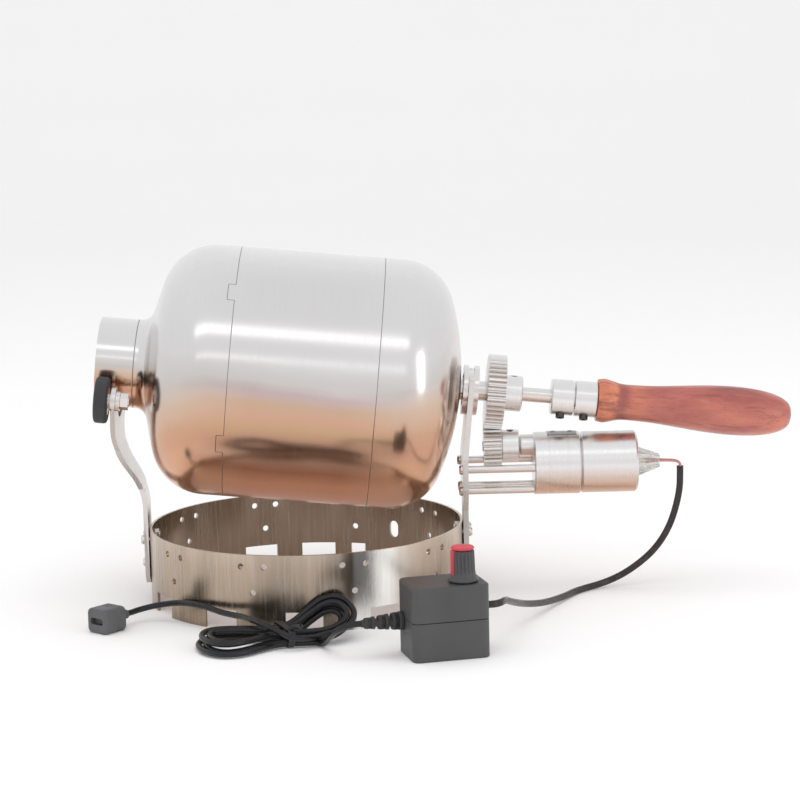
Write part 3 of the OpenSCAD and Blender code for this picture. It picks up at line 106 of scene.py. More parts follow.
def smooth(mesh, angle):
    """Smooth shading, with a crease where two faces meet at more than the angle."""
    mesh.polygons.foreach_set("use_smooth", [True] * len(mesh.polygons))
    mesh.set_sharp_from_angle(angle=math.radians(angle))
    mesh.update()
    return mesh


def finished(name, bm, angle=40.0):
    """The mesh of a bmesh, facing outwards and smooth up to the angle."""
    bmesh.ops.recalc_face_normals(bm, faces=bm.faces)
    mesh = bpy.data.meshes.new(name)
    bm.to_mesh(mesh)
    bm.free()
    return smooth(mesh, angle)


def run_length(points):
    """The length of the line through the points."""
    return sum((b - a).length for a, b in zip(points, points[1:]))


def smooth_route(points, per=4):
    """A Catmull-Rom line through the points, with per steps between two of them."""
    line = []
    n = len(points)
    for i in range(n - 1):
        p0, p1, p2, p3 = (points[max(0, min(n - 1, i + k))] for k in (-1, 0, 1, 2))
        for j in range(per):
            t = j / per
            line.append(0.5 * (2 * p1 + (p2 - p0) * t + (2 * p0 - 5 * p1 + 4 * p2 - p3) * t * t
                               + (3 * p1 - p0 - 3 * p2 + p3) * t ** 3))
    line.append(points[-1])
    return line


def evened(points, step):
    """The same line with its points a step apart."""
    total = run_length(points)
    count = max(2, round(total / step))
    wanted = [total * k / count for k in range(count + 1)]
    line, gone, i = [], 0.0, 0
    for w in wanted:
        while i < len(points) - 2 and gone + (points[i + 1] - points[i]).length < w:
            gone += (points[i + 1] - points[i]).length
            i += 1
        span = (points[i + 1] - points[i]).length
        share = min(1.0, (w - gone) / span) if span > 0 else 0.0
        line.append(points[i].lerp(points[i + 1], share))
    return line


def carried_frames(points):
    """Two sideways directions at each point, carried along without twist."""
    frames = []
    side = None
    for i in range(len(points)):
        along = points[min(i + 1, len(points) - 1)] - points[max(i - 1, 0)]
        along.normalize()
        if side is None:
            side = along.cross(Vector((0, 0, 1)) if abs(along.z) < 0.9 else Vector((0, 1, 0)))
        side = (side - along * side.dot(along)).normalized()
        frames.append((side, along.cross(side)))
    return frames


def swept_mesh(name, points, outline):
    """A closed tube with the outline round the route, and a UV map that runs along it."""
    bm = bmesh.new()
    uv = bm.loops.layers.uv.new("UVMap")
    lengths = [0.0]
    for a, b in zip(points, points[1:]):
        lengths.append(lengths[-1] + (b - a).length)
    rings = [[bm.verts.new(p + side * x + out * y) for x, y in outline]
             for p, (side, out) in zip(points, carried_frames(points))]
    n = len(outline)
    for i in range(len(rings) - 1):
        for k in range(n):
            j = (k + 1) % n
            face = bm.faces.new((rings[i][k], rings[i][j], rings[i + 1][j], rings[i + 1][k]))
            corners = ((k, i), (k + 1, i), (k + 1, i + 1), (k, i + 1))
            for loop, (u, v) in zip(face.loops, corners):
                loop[uv].uv = (u / n, lengths[v] * UV_PER_METRE)
    bm.faces.new(rings[0])
    bm.faces.new(list(reversed(rings[-1])))
    return finished(name, bm, 50.0)


def add_loft(bm, rings, wrap=False):
    """Skin over rings of equally many points, closed at both ends or wrapped round."""
    made = [[bm.verts.new(p) for p in ring] for ring in rings]
    for i in range(len(made) if wrap else len(made) - 1):
        a, b = made[i], made[(i + 1) % len(made)]
        for k in range(len(a)):
            j = (k + 1) % len(a)
            bm.faces.new((a[k], a[j], b[j], b[k]))
    if not wrap:
        bm.faces.new(list(reversed(made[0])))
        bm.faces.new(made[-1])


def loft_mesh(rings):
    """A loft as a mesh of its own, for a tree to start from."""
    bm = bmesh.new()
    add_loft(bm, rings)
    return finished("loft", bm)


def rounded_ring(w, d, r, steps, support=0.35):
    """A rectangle with rounded corners, and a point on its straight sides next to each corner."""
    points = []
    for sx, sy, start in ((1, 1, 0), (-1, 1, 90), (-1, -1, 180), (1, -1, 270)):
        cx, cy = sx * (w / 2 - r), sy * (d / 2 - r)
        arc = [(cx + r * c, cy + r * s) for c, s in circle(steps, start, start + 90)]
        back, on = math.radians(start - 90), math.radians(start + 180)
        before = (arc[0][0] + support * math.cos(back), arc[0][1] + support * math.sin(back))
        after = (arc[-1][0] + support * math.cos(on), arc[-1][1] + support * math.sin(on))
        points += [before] + arc + [after]
    return points


# Cords: the supply cord's hank is a folded bundle, drawn in at its waist
CORD_D, LEAD_D = 3.3, 3.8
CORD_STEP = 0.0016
HANK_X, HANK_Y, HANK_TURN = -14.0, -111.0, math.radians(20.0)
HANK_HALF, HANK_WAIST, HANK_BULGE = 43.0, 10.4, 29.0
HANK_LOOPS, HANK_END, HANK_RINGS = 4, 3.945, 24
HANK_BACK = HANK_LOOPS / 2 + 20 / 360
HANK_START, HANK_CLEAR, HANK_LIFT = 70, 0.8, 4.6
STRAND_STEP, STRAND_SPREAD = 4.05, 0.3
LEAN, LEAN_FROM, LEAN_OVER, LEAN_RISE = math.radians(30.0), 6.0, 32.0, 7.0


def eased(q):
    """0 to 1 with a soft start and end."""
    c = min(1.0, max(0.0, q))
    return c * c * (3 - 2 * c)


def hank_edge(a):
    """The hank's outermost strand at the angle a, narrow at its waist."""
    c, s = math.cos(a), math.sin(a)
    return Vector((HANK_HALF * c * (1 - 0.35 * s * s),
                   -(HANK_WAIST + HANK_BULGE * c * c * (1 - 0.25 * c)) * s))


def hank_point(u):
    """The cord's middle after u turns: inwards, then up and back out, leaning at its right end."""
    a = math.radians(HANK_START + 360 * u)
    nearby = math.radians(0.5)
    along = (hank_edge(a + nearby) - hank_edge(a - nearby)).normalized()
    inset = u if u < HANK_BACK else 2 * HANK_BACK - u
    spacing = STRAND_STEP + STRAND_SPREAD * math.sin(a) ** 2
    q = hank_edge(a) + Vector((along.y, -along.x)) * inset * spacing
    lift = HANK_LIFT * eased((u - HANK_BACK + 0.25) / 0.5)
    e = eased((q.x - LEAN_FROM) / LEAN_OVER)
    lean = LEAN * e
    y = q.y * math.cos(lean) - lift * math.sin(lean)
    z = (CORD_D / 2 + HANK_CLEAR + q.y * math.sin(lean) + lift * math.cos(lean)
         + (HANK_WAIST + LEAN_RISE * e) * math.sin(lean))
    c, s = math.cos(HANK_TURN), math.sin(HANK_TURN)
    return Vector((HANK_X + q.x * c - y * s, HANK_Y + q.x * s + y * c, z))


hank_count = math.ceil(HANK_END * HANK_RINGS)
hank_run = [hank_point(i * HANK_END / hank_count) for i in range(hank_count + 1)]
into_hank = (hank_run[0] - hank_run[1]).normalized()
out_of_hank = (hank_run[-1] - hank_run[-2]).normalized()
RELIEF_V, RELIEF_Z, RELIEF_LONG = 6, 18, 22
GROMMET_LONG, GROMMET_Z = 2.4, 24
SUPPLY_ROUTE = [(22, -145.2, 17), (18.3, -142.8, 14.6), (15.6, -137.6, 11.2), (13.7, -131.2, 7.6),
                (12, -125.5, 4.3), (9.8, -121, 2.2)]
PLUG_ROUTE = [(0.2, -125.3, 6.4), (-5.2, -126.8, 7.3), (-10.8, -125.9, 9.3), (-16, -122, 11.2),
              (-21, -116.5, 12.3), (-25, -111, 12.6), (-29, -104.5, 12.4), (-33, -98, 12),
              (-38.5, -91.5, 11.6), (-45, -85, 11.7), (-52.5, -77, 12.5), (-60, -69.5, 12.5),
              (-67.5, -61.8, 11.6), (-75, -57, 10.2), (-83, -54.8, 8.6), (-90, -56.2, 7.3)]
MOTOR_ROUTE = [(212, 0, 69), (212, 0, 65), (211.6, 0, 56), (209.6, 0, 46), (206.3, 0, 36),
               (201.5, 0, 27), (195.5, 0, 19.5), (188, 0, 13), (180, -0.5, 7.8), (172, -1.5, 4.2),
               (164, -5, 2.4), (156.5, -11, 2), (150, -19, 2.1), (143.5, -31, 2.6), (137, -43, 3.6),
               (130.5, -56, 5.4), (124, -69, 8), (118, -82, 11.3), (113.5, -95, 15),
               (109.5, -107.5, 18.8), (106.6, -117.5, 22), (104.6, -125.5, 23.7),
               (102.8, -130.4, 24.1)]
PLUG = Vector((-106.5, -74.0, 6.75))
PLUG_TURN = math.radians(229.0)
PLUG_ROOT = 14.0
plug_axis = Vector((math.cos(PLUG_TURN), math.sin(PLUG_TURN), 0.0))
plug_root = PLUG - plug_axis * PLUG_ROOT
supply_points = [on_box(-BOX_W / 2 - RELIEF_LONG - q, RELIEF_V, RELIEF_Z) for q in (0, CORD_D)]
supply_points += [Vector(p) for p in SUPPLY_ROUTE]
supply_points += [hank_run[0] + into_hank * q * CORD_D for q in (2, 1)] + hank_run
supply_points += [hank_run[-1] + out_of_hank * q * CORD_D for q in (1, 2)]
supply_points += [Vector(p) for p in PLUG_ROUTE]
supply_points += [plug_root - plug_axis * CORD_D * 1.2, plug_root]
motor_points = [Vector(p) for p in MOTOR_ROUTE]
motor_points += [on_box(BOX_W / 2 + GROMMET_LONG + LEAD_D * q, 0, GROMMET_Z) for q in (1.2, 0)]
supply_line = evened(smooth_route([on_table(p) for p in supply_points]), CORD_STEP)
motor_line = evened(smooth_route([on_table(p) for p in motor_points], 6), CORD_STEP)


# Nodes, in materials and in geometry trees
def add(tree, kind, **settings):
    """A node whose settings are a socket's value, a link into a socket, or its own property."""
    node = tree.nodes.new(kind)
    for key, value in settings.items():
        label = key.replace("_", " ")
        if label not in node.inputs:
            setattr(node, key, value)
        elif hasattr(value, "is_output"):
            tree.links.new(value, node.inputs[label])
        else:
            node.inputs[label].default_value = value
    return node


def calc(tree, operation, *values, kind="ShaderNodeMath"):
    """The result of one operation on sockets or numbers."""
    node = add(tree, kind, operation=operation)
    for socket, value in zip(node.inputs, values):
        if hasattr(value, "is_output"):
            tree.links.new(value, socket)
        else:
            socket.default_value = value
    return node.outputs[0]


def parts_of(tree, vector):
    return add(tree, "ShaderNodeSeparateXYZ", Vector=vector).outputs


# Geometry trees for what repeats, follows a path or follows a rule
def geometry_tree(name, sizes):
    """A tree with named inputs for its sizes, and the sockets that these come in by."""
    tree = bpy.data.node_groups.new(name, "GeometryNodeTree")
    for label, kind in [("Geometry", "Geometry")] + sizes + [("Finish", "Material")]:
        tree.interface.new_socket(label, in_out="INPUT", socket_type="NodeSocket" + kind)
    tree.interface.new_socket("Geometry", in_out="OUTPUT", socket_type="NodeSocketGeometry")
    return tree, add(tree, "NodeGroupInput").outputs


def close_tree(tree, geometry, finish):
    """The end of every tree: real instances, and their material."""
    real = add(tree, "GeometryNodeRealizeInstances", Geometry=geometry)
    dressed = add(tree, "GeometryNodeSetMaterial", Geometry=real.outputs[0], Material=finish)
    add(tree, "NodeGroupOutput", Geometry=dressed.outputs[0])


def stored(tree, name, kind="FLOAT"):
    """A value that the start mesh carries on its points."""
    node = add(tree, "GeometryNodeInputNamedAttribute", data_type=kind, Name=name)
    return next(socket for socket in node.outputs if socket.enabled)


# A round tube along a line of edges
tube_tree, given = geometry_tree("tube_along_path", [("Radius", "Float"), ("Sides", "Int")])
path = add(tube_tree, "GeometryNodeMeshToCurve", Mesh=given["Geometry"])
section = add(tube_tree, "GeometryNodeCurvePrimitiveCircle",
              Resolution=given["Sides"], Radius=given["Radius"])
tube = add(tube_tree, "GeometryNodeCurveToMesh", Curve=path.outputs["Curve"],
           Profile_Curve=section.outputs["Curve"], Fill_Caps=True)
close_tree(tube_tree, tube.outputs["Mesh"], given["Finish"])

# A row of copies, each with the points that carry "inward" drawn in further than on the last
row_tree, given = geometry_tree("narrowing_row",
                                [("Count", "Int"), ("Step", "Vector"), ("Narrowing", "Float")])
places = add(row_tree, "GeometryNodeMeshLine", Count=given["Count"], Offset=given["Step"])
copies = add(row_tree, "GeometryNodeInstanceOnPoints",
             Points=places.outputs["Mesh"], Instance=given["Geometry"])
number = add(row_tree, "GeometryNodeInputIndex").outputs["Index"]
counted = add(row_tree, "GeometryNodeStoreNamedAttribute", data_type="FLOAT", domain="INSTANCE",
              Geometry=copies.outputs[0], Name="copy", Value=number)
joined = add(row_tree, "GeometryNodeRealizeInstances", Geometry=counted.outputs[0])
drawn_in = calc(row_tree, "MULTIPLY", stored(row_tree, "copy"), given["Narrowing"])
shift = add(row_tree, "ShaderNodeVectorMath", operation="SCALE", Scale=drawn_in)
row_tree.links.new(stored(row_tree, "inward", "FLOAT_VECTOR"), shift.inputs[0])
row = add(row_tree, "GeometryNodeSetPosition",
          Geometry=joined.outputs[0], Offset=shift.outputs["Vector"])
close_tree(row_tree, row.outputs[0], given["Finish"])

# Flutes round an upright axis, as deep as each point's "flute"
flute_tree, given = geometry_tree("fluted_grip", [("Flutes", "Int"), ("Start", "Float"),
                                                  ("Sharpness", "Float"), ("Axis", "Vector")])
position = add(flute_tree, "GeometryNodeInputPosition").outputs["Position"]
off_axis = calc(flute_tree, "SUBTRACT", position, given["Axis"], kind="ShaderNodeVectorMath")
x, y, _ = parts_of(flute_tree, off_axis)
flat = add(flute_tree, "ShaderNodeCombineXYZ", X=x, Y=y)
outward = calc(flute_tree, "NORMALIZE", flat.outputs[0], kind="ShaderNodeVectorMath")
turn = calc(flute_tree, "SUBTRACT", calc(flute_tree, "ARCTAN2", y, x), given["Start"])
wave = calc(flute_tree, "COSINE", calc(flute_tree, "MULTIPLY", turn, given["Flutes"]))
hollow = calc(flute_tree, "POWER", calc(flute_tree, "MULTIPLY_ADD", wave, -0.5, 0.5),
              given["Sharpness"])
depth = calc(flute_tree, "MULTIPLY", hollow, stored(flute_tree, "flute"))
shift = add(flute_tree, "ShaderNodeVectorMath", operation="SCALE",
            Scale=calc(flute_tree, "MULTIPLY", depth, -1.0))
flute_tree.links.new(outward, shift.inputs[0])
grip = add(flute_tree, "GeometryNodeSetPosition",
           Geometry=given["Geometry"], Offset=shift.outputs["Vector"])
close_tree(flute_tree, grip.outputs[0], given["Finish"])


def carry(mesh, name, values):
    """The mesh with a number or a direction on each of its points."""
    flat = isinstance(values[0], float)
    kind, field = ("FLOAT", "value") if flat else ("FLOAT_VECTOR", "vector")
    layer = mesh.attributes.new(name, kind, "POINT")
    layer.data.foreach_set(field, values if flat else [c for value in values for c in value])
    return mesh


def grown(tree, start, **sizes):
    """The plain mesh that a tree makes from a start mesh and its sizes."""
    seed = bpy.data.objects.new("seed", start)
    bpy.context.scene.collection.objects.link(seed)
    modifier = seed.modifiers.new("tree", "NODES")
    modifier.node_group = tree
    for item in tree.interface.items_tree:
        if item.in_out == "INPUT" and item.name in sizes:
            modifier[item.identifier] = sizes[item.name]
    view = bpy.context.evaluated_depsgraph_get()
    mesh = bpy.data.meshes.new_from_object(seed.evaluated_get(view))
    seed.modifiers.remove(modifier)
    bpy.data.objects.remove(seed)
    for name in ("copy", "inward", "flute"):
        if name in mesh.attributes:
            mesh.attributes.remove(mesh.attributes[name])
    return mesh


def tube_along(line, radius, sides, finish):
    """A closed round tube along a line of points."""
    path = bpy.data.meshes.new("path")
    path.from_pydata(line, [(k, k + 1) for k in range(len(line) - 1)], [])
    return grown(tube_tree, path, Radius=radius, Sides=sides, Finish=finish)


# Materials
def new_material(name):
    material = bpy.data.materials.new(name)
    material.use_nodes = True
    tree = material.node_tree
    return material, tree, tree.nodes["Principled BSDF"]


def dress(tree, shader, **sockets):
    """Links or plain values for the shader's sockets."""
    for key, value in sockets.items():
        socket = shader.inputs[key.replace("_", " ")]
        if hasattr(value, "is_output"):
            tree.links.new(value, socket)
        else:
            socket.default_value = value


def stretched(tree, vector, scale, **placed):
    return add(tree, "ShaderNodeMapping", Vector=vector, Scale=scale, **placed).outputs["Vector"]


def object_space(tree, scale=(1, 1, 1), shift=(0, 0, 0)):
    """Object coordinates, stretched and moved for the pattern."""
    where = add(tree, "ShaderNodeTexCoord")
    return stretched(tree, where.outputs["Object"], scale, Location=shift)


def drum_space(tree):
    """Place in the drum's own frame: X along its axis from the middle, in metres."""
    where = add(tree, "ShaderNodeTexCoord")
    moved = calc(tree, "SUBTRACT", where.outputs["Object"], on_drum(0, 0, 0),
                 kind="ShaderNodeVectorMath")
    return stretched(tree, moved, (1, 1, 1), Rotation=(0, -TILT, 0))


def noise(tree, vector, scale, detail=3.0, rough=0.5):
    return add(tree, "ShaderNodeTexNoise", Vector=vector, Scale=scale, Detail=detail,
               Roughness=rough).outputs["Fac"]


def ramp(tree, value, stops, ease="LINEAR"):
    """Colours, or greys given by one number, at places from 0 to 1."""
    node = add(tree, "ShaderNodeValToRGB", Fac=value)
    band = node.color_ramp
    band.interpolation = ease
    while len(band.elements) < len(stops):
        band.elements.new(0.5)
    for element, (place, colour) in zip(band.elements, stops):
        element.position = place
        element.color = (*colour, 1) if isinstance(colour, tuple) else (colour, colour, colour, 1)
    return node.outputs["Color"]


def spread(tree, value, low, high, from_low, from_high):
    """Low to high while the value goes from from_low to from_high, and no further."""
    return add(tree, "ShaderNodeMapRange", Value=value, From_Min=from_low, From_Max=from_high,
               To_Min=low, To_Max=high).outputs["Result"]


def mixed(tree, a, b, share):
    """Colours a and b, each a socket or a colour, mixed by share."""
    node = add(tree, "ShaderNodeMix", data_type="RGBA")
    factor, first, second = 0, 6, 7
    for index, value in ((factor, share), (first, a), (second, b)):
        if hasattr(value, "is_output"):
            tree.links.new(value, node.inputs[index])
        else:
            node.inputs[index].default_value = value if index == factor else (*value, 1)
    return node.outputs[2]


def bumped(tree, shader, height, strength, distance):
    bump = add(tree, "ShaderNodeBump", Height=height, Strength=strength, Distance=distance)
    dress(tree, shader, Normal=bump.outputs["Normal"])


def facing(tree):
    """How far a surface looks up: 0 straight down, 0.5 level, 1 straight up."""
    where = add(tree, "ShaderNodeNewGeometry")
    return spread(tree, parts_of(tree, where.outputs["Normal"])["Z"], 0.0, 1.0, -1.0, 1.0)


def line_at(tree, value, place, wide, soft):
    """1 where the value is within a narrow line round the place, 0 away from it."""
    off = calc(tree, "ABSOLUTE", calc(tree, "SUBTRACT", value, place))
    return spread(tree, off, 1.0, 0.0, wide, wide + soft)


def metal(name, reflection_tones, rough, stretch=(1, 1, 1), grain=400.0, strength=0.08, patch=0.05):
    """Bare metal: tones from its underside to its top, painted as a reflection, and a fine grain
    along its finish.
    """
    material, tree, shader = new_material(name)
    fine = noise(tree, object_space(tree, stretch), grain, 4.0, 0.6)
    broad = noise(tree, object_space(tree), 22.0, 2.0)
    # Painted reflection: colour by which way the surface looks
    tone = ramp(tree, facing(tree), reflection_tones, "EASE")
    streak = spread(tree, fine, 0.0, patch * 2, 0.35, 0.75)
    both = mixed(tree, fine, broad, 0.5)
    dress(tree, shader, Metallic=1.0, Base_Color=mixed(tree, tone, (0.55, 0.53, 0.52), streak),
          Roughness=spread(tree, both, rough - 0.06, rough + 0.06, 0.3, 0.7))
    bumped(tree, shader, fine, strength, 0.0001)
    return material


def plastic(name, colour, rough, grain=900.0, strength=0.12, second=None):
    """Moulded plastic or rubber: a fine pebbled skin, slightly uneven in tone."""
    material, tree, shader = new_material(name)
    space = object_space(tree)
    fine = noise(tree, space, grain, 3.0, 0.6)
    broad = noise(tree, space, 35.0, 3.0)
    second = second or tuple(min(1.0, c * 1.35 + 0.004) for c in colour)
    dress(tree, shader,
          Base_Color=mixed(tree, colour, second, spread(tree, broad, 0.0, 1.0, 0.35, 0.65)),
          Roughness=spread(tree, broad, rough - 0.06, rough + 0.06, 0.3, 0.7))
    bumped(tree, shader, fine, strength, 0.0001)
    return material


def cord_sheath(name, colour, rough):
    """Soft sheath: a faint run of light and dark along the cord and round it."""
    material, tree, shader = new_material(name)
    where = add(tree, "ShaderNodeTexCoord")
    broad = noise(tree, stretched(tree, where.outputs["UV"], (3.0, 0.6, 1.0)), 2.0, 3.0)
    fine = noise(tree, object_space(tree), 1500.0, 2.0)
    lighter = tuple(c * 1.6 + 0.004 for c in colour)
    dress(tree, shader,
          Base_Color=mixed(tree, colour, lighter, spread(tree, broad, 0.0, 1.0, 0.3, 0.7)),
          Roughness=spread(tree, broad, rough - 0.07, rough + 0.07, 0.3, 0.7))
    dress(tree, shader, Specular_IOR_Level=0.36)
    bumped(tree, shader, fine, 0.12, 0.0001)
    return material


# Painted reflections in bare metal, from a surface that looks down to one that looks up: warm and
# dark below like a warm floor, pale above, with darker bands on the drum low down and on the motor
# at its top
STEEL_REFLECTION_TONES = [(0.0, (0.66, 0.48, 0.40)), (0.22, (0.64, 0.47, 0.39)), (0.4, (0.74, 0.61, 0.54)),
               (0.52, (0.78, 0.73, 0.70)), (1.0, (0.86, 0.86, 0.85))]
ARM_REFLECTION_TONES = [(0.0, (0.58, 0.50, 0.46)), (0.3, (0.64, 0.57, 0.53)), (0.5, (0.72, 0.67, 0.64)),
             (1.0, (0.84, 0.83, 0.82))]
ALLOY_REFLECTION_TONES = [(0.0, (0.70, 0.58, 0.51)), (0.35, (0.80, 0.73, 0.69)), (0.5, (0.82, 0.80, 0.79)),
               (1.0, (0.88, 0.88, 0.87))]
MOTOR_REFLECTION_TONES = [(0.0, (0.68, 0.43, 0.31)), (0.17, (0.68, 0.43, 0.31)), (0.30, (0.68, 0.54, 0.45)),
               (0.42, (0.74, 0.66, 0.63)), (0.55, (0.84, 0.82, 0.82)), (0.86, (0.90, 0.90, 0.90)),
               (1.0, (0.76, 0.76, 0.76))]
DRUM_REFLECTION_TONES = [(0.03, (0.76, 0.35, 0.20)), (0.13, (0.70, 0.335, 0.19)), (0.19, (0.44, 0.19, 0.105)),
              (0.24, (0.60, 0.37, 0.26)), (0.295, (0.50, 0.275, 0.185)),
              (0.35, (0.56, 0.355, 0.21)), (0.40, (0.61, 0.36, 0.255)), (0.45, (0.56, 0.385, 0.27)),
              (0.50, (0.55, 0.435, 0.435)), (0.546, (0.72, 0.67, 0.64)), (0.62, (0.80, 0.78, 0.77)),
              (0.90, (0.80, 0.785, 0.78)), (1.0, (0.88, 0.88, 0.875))]
SHOULDER_REFLECTION_TONES = [(0.03, (0.80, 0.46, 0.31)), (0.19, (0.78, 0.44, 0.27)),
                  (0.24, (0.70, 0.39, 0.25)), (0.295, (0.63, 0.345, 0.225)),
                  (0.35, (0.60, 0.36, 0.235)), (0.40, (0.62, 0.41, 0.30)),
                  (0.45, (0.62, 0.46, 0.35)), (0.50, (0.63, 0.54, 0.49)),
                  (0.546, (0.73, 0.69, 0.66)), (0.62, (0.80, 0.78, 0.77)),
                  (1.0, (0.86, 0.86, 0.86))]

# Drum: satin steel, brownish with dark bands below as a painted reflection of a warm floor and the
# parts under it, with fine dark lines where the shells meet
FRONT_SEAM, REAR_SEAM, NECK_SEAM = -0.0387, 0.04132, -0.09286
SEAM_WIDE, SEAM_SOFT = 0.00008, 0.00022
DRUM_R, TAB_DEEP = 0.07, 0.004
TAB_HALF, TAB_STEP, TAB_FIRST = (math.radians(a) for a in (4.5, 72.0, 8.0))
SHOULDER_FROM, SHOULDER_TO = 0.025, 0.065
drum_steel, tree, shader = new_material("drum_steel")
place = drum_space(tree)
along, across, height = parts_of(tree, place)
fine = noise(tree, stretched(tree, place, (1.0, 0.06, 0.06)), 900.0, 4.0, 0.6)
smear = noise(tree, stretched(tree, place, (0.35, 1.0, 1.0)), 26.0, 3.0, 0.5)
# Painted reflection: tones by which way the surface looks, pale above and brown below, with their
# own tones on the drum's ends
looks_up = calc(tree, "ADD", facing(tree), spread(tree, smear, -0.02, 0.02, 0.3, 0.7))
from_middle = spread(tree, calc(tree, "ABSOLUTE", along), 0.0, 1.0, SHOULDER_FROM, SHOULDER_TO)
tone = mixed(tree, ramp(tree, looks_up, DRUM_REFLECTION_TONES), ramp(tree, looks_up, SHOULDER_REFLECTION_TONES),
             from_middle)
bearing = calc(tree, "ARCTAN2", across, calc(tree, "MULTIPLY", height, -1.0))
tab_turn = calc(tree, "SUBTRACT", bearing, TAB_FIRST - TAB_STEP / 2)
tab_turn = calc(tree, "FLOORED_MODULO", tab_turn, TAB_STEP)
tab_off = calc(tree, "ABSOLUTE", calc(tree, "SUBTRACT", tab_turn, TAB_STEP / 2))
in_tab = calc(tree, "LESS_THAN", tab_off, TAB_HALF)
stepped = calc(tree, "ADD", along, calc(tree, "MULTIPLY", in_tab, TAB_DEEP))
front_seam = line_at(tree, stepped, FRONT_SEAM, SEAM_WIDE, SEAM_SOFT)
on_tab = calc(tree, "MULTIPLY", calc(tree, "GREATER_THAN", along, FRONT_SEAM - TAB_DEEP),
              calc(tree, "LESS_THAN", along, FRONT_SEAM))
tab_sides = line_at(tree, calc(tree, "MULTIPLY", tab_off, DRUM_R), TAB_HALF * DRUM_R,
                    SEAM_WIDE, SEAM_SOFT)
tab_sides = calc(tree, "MULTIPLY", tab_sides, on_tab)
plain_seams = calc(tree, "MAXIMUM", line_at(tree, along, REAR_SEAM, SEAM_WIDE, SEAM_SOFT),
                   line_at(tree, along, NECK_SEAM, 0.0001, 0.0003))
seams = calc(tree, "MAXIMUM", calc(tree, "MAXIMUM", front_seam, tab_sides), plain_seams)
streaked = mixed(tree, tone, (0.58, 0.56, 0.55), spread(tree, fine, 0.0, 0.06, 0.35, 0.75))
rough = spread(tree, mixed(tree, fine, smear, 0.6), 0.15, 0.25, 0.3, 0.7)
dress(tree, shader, Metallic=1.0,
      Base_Color=mixed(tree, streaked, (0.16, 0.12, 0.10), calc(tree, "MULTIPLY", seams, 0.6)),
      Roughness=calc(tree, "ADD", rough, calc(tree, "MULTIPLY", seams, 0.3)))
skin = calc(tree, "SUBTRACT", calc(tree, "MULTIPLY", fine, 0.03), seams)
bumped(tree, shader, skin, 0.5, 0.00012)

# Ring: brushed sheet, streaked upright, tan and darker towards the table as a painted reflection of
# a warm floor, with a painted dark and a painted bright reflection in bands that stand upright at
# its front
RING_H = 0.042
DARK_REFLECTION_FROM, DARK_REFLECTION_TO, BRIGHT_REFLECTION_FROM, BRIGHT_REFLECTION_TO = (math.radians(a) for a in (-30, 60, 10, 50))
ring_steel, tree, shader = new_material("ring_steel")
fine = noise(tree, object_space(tree, (1.0, 1.0, 0.05)), 700.0, 4.0, 0.6)
bands = noise(tree, object_space(tree, (1.0, 1.0, 0.10)), 60.0, 3.0, 0.5)
height = parts_of(tree, object_space(tree))["Z"]
# Painted reflection of a warm floor: tan, darker towards the table
tone = ramp(tree, spread(tree, height, 0.0, 1.0, 0.0, RING_H),
            [(0.0, (0.30, 0.225, 0.16)), (0.45, (0.40, 0.315, 0.235)), (0.8, (0.46, 0.36, 0.275)),
             (1.0, (0.53, 0.43, 0.34))])
east, north, _ = parts_of(tree, object_space(tree, shift=tuple(-c * MM for c in RING)))
bearing = calc(tree, "ARCTAN2", east, calc(tree, "MULTIPLY", north, -1.0))
bearing = calc(tree, "ADD", bearing, spread(tree, bands, -0.03, 0.03, 0.3, 0.7))
# Painted dark reflection: an upright dark band at the ring's front by bearing, weaker towards its
# top
painted_dark_reflection = ramp(tree, spread(tree, bearing, 0.0, 1.0, DARK_REFLECTION_FROM, DARK_REFLECTION_TO),
             [(0.0, 0.0), (0.12, 0.10), (0.24, 0.55), (0.36, 0.30), (0.45, 0.75), (0.51, 0.5),
              (0.54, 0.0)])
painted_dark_reflection = calc(tree, "MULTIPLY", painted_dark_reflection, spread(tree, height, 1.0, 0.55, 0.008, RING_H))
tone = mixed(tree, tone, (0.17, 0.145, 0.13), painted_dark_reflection)
# Painted bright reflection: a pale upright band at the ring's front right by bearing
painted_bright_reflection = ramp(tree, spread(tree, bearing, 0.0, 1.0, BRIGHT_REFLECTION_FROM, BRIGHT_REFLECTION_TO),
            [(0.0, 0.0), (0.13, 0.0), (0.20, 0.95), (0.52, 0.95), (0.62, 0.35), (0.9, 0.0)])
tone = mixed(tree, tone, (0.95, 0.935, 0.90), painted_bright_reflection)
cloudy = calc(tree, "MULTIPLY", spread(tree, bands, 0.0, 0.35, 0.42, 0.66),
              calc(tree, "SUBTRACT", 1.0, painted_bright_reflection))
tone = mixed(tree, tone, (0.34, 0.27, 0.22), cloudy)
tone = mixed(tree, tone, (0.80, 0.75, 0.70), spread(tree, fine, 0.0, 0.18, 0.45, 0.7))
dress(tree, shader, Metallic=1.0, Base_Color=tone,
      Roughness=spread(tree, mixed(tree, fine, bands, 0.5), 0.18, 0.32, 0.3, 0.7))
bumped(tree, shader, fine, 0.07, 0.0001)

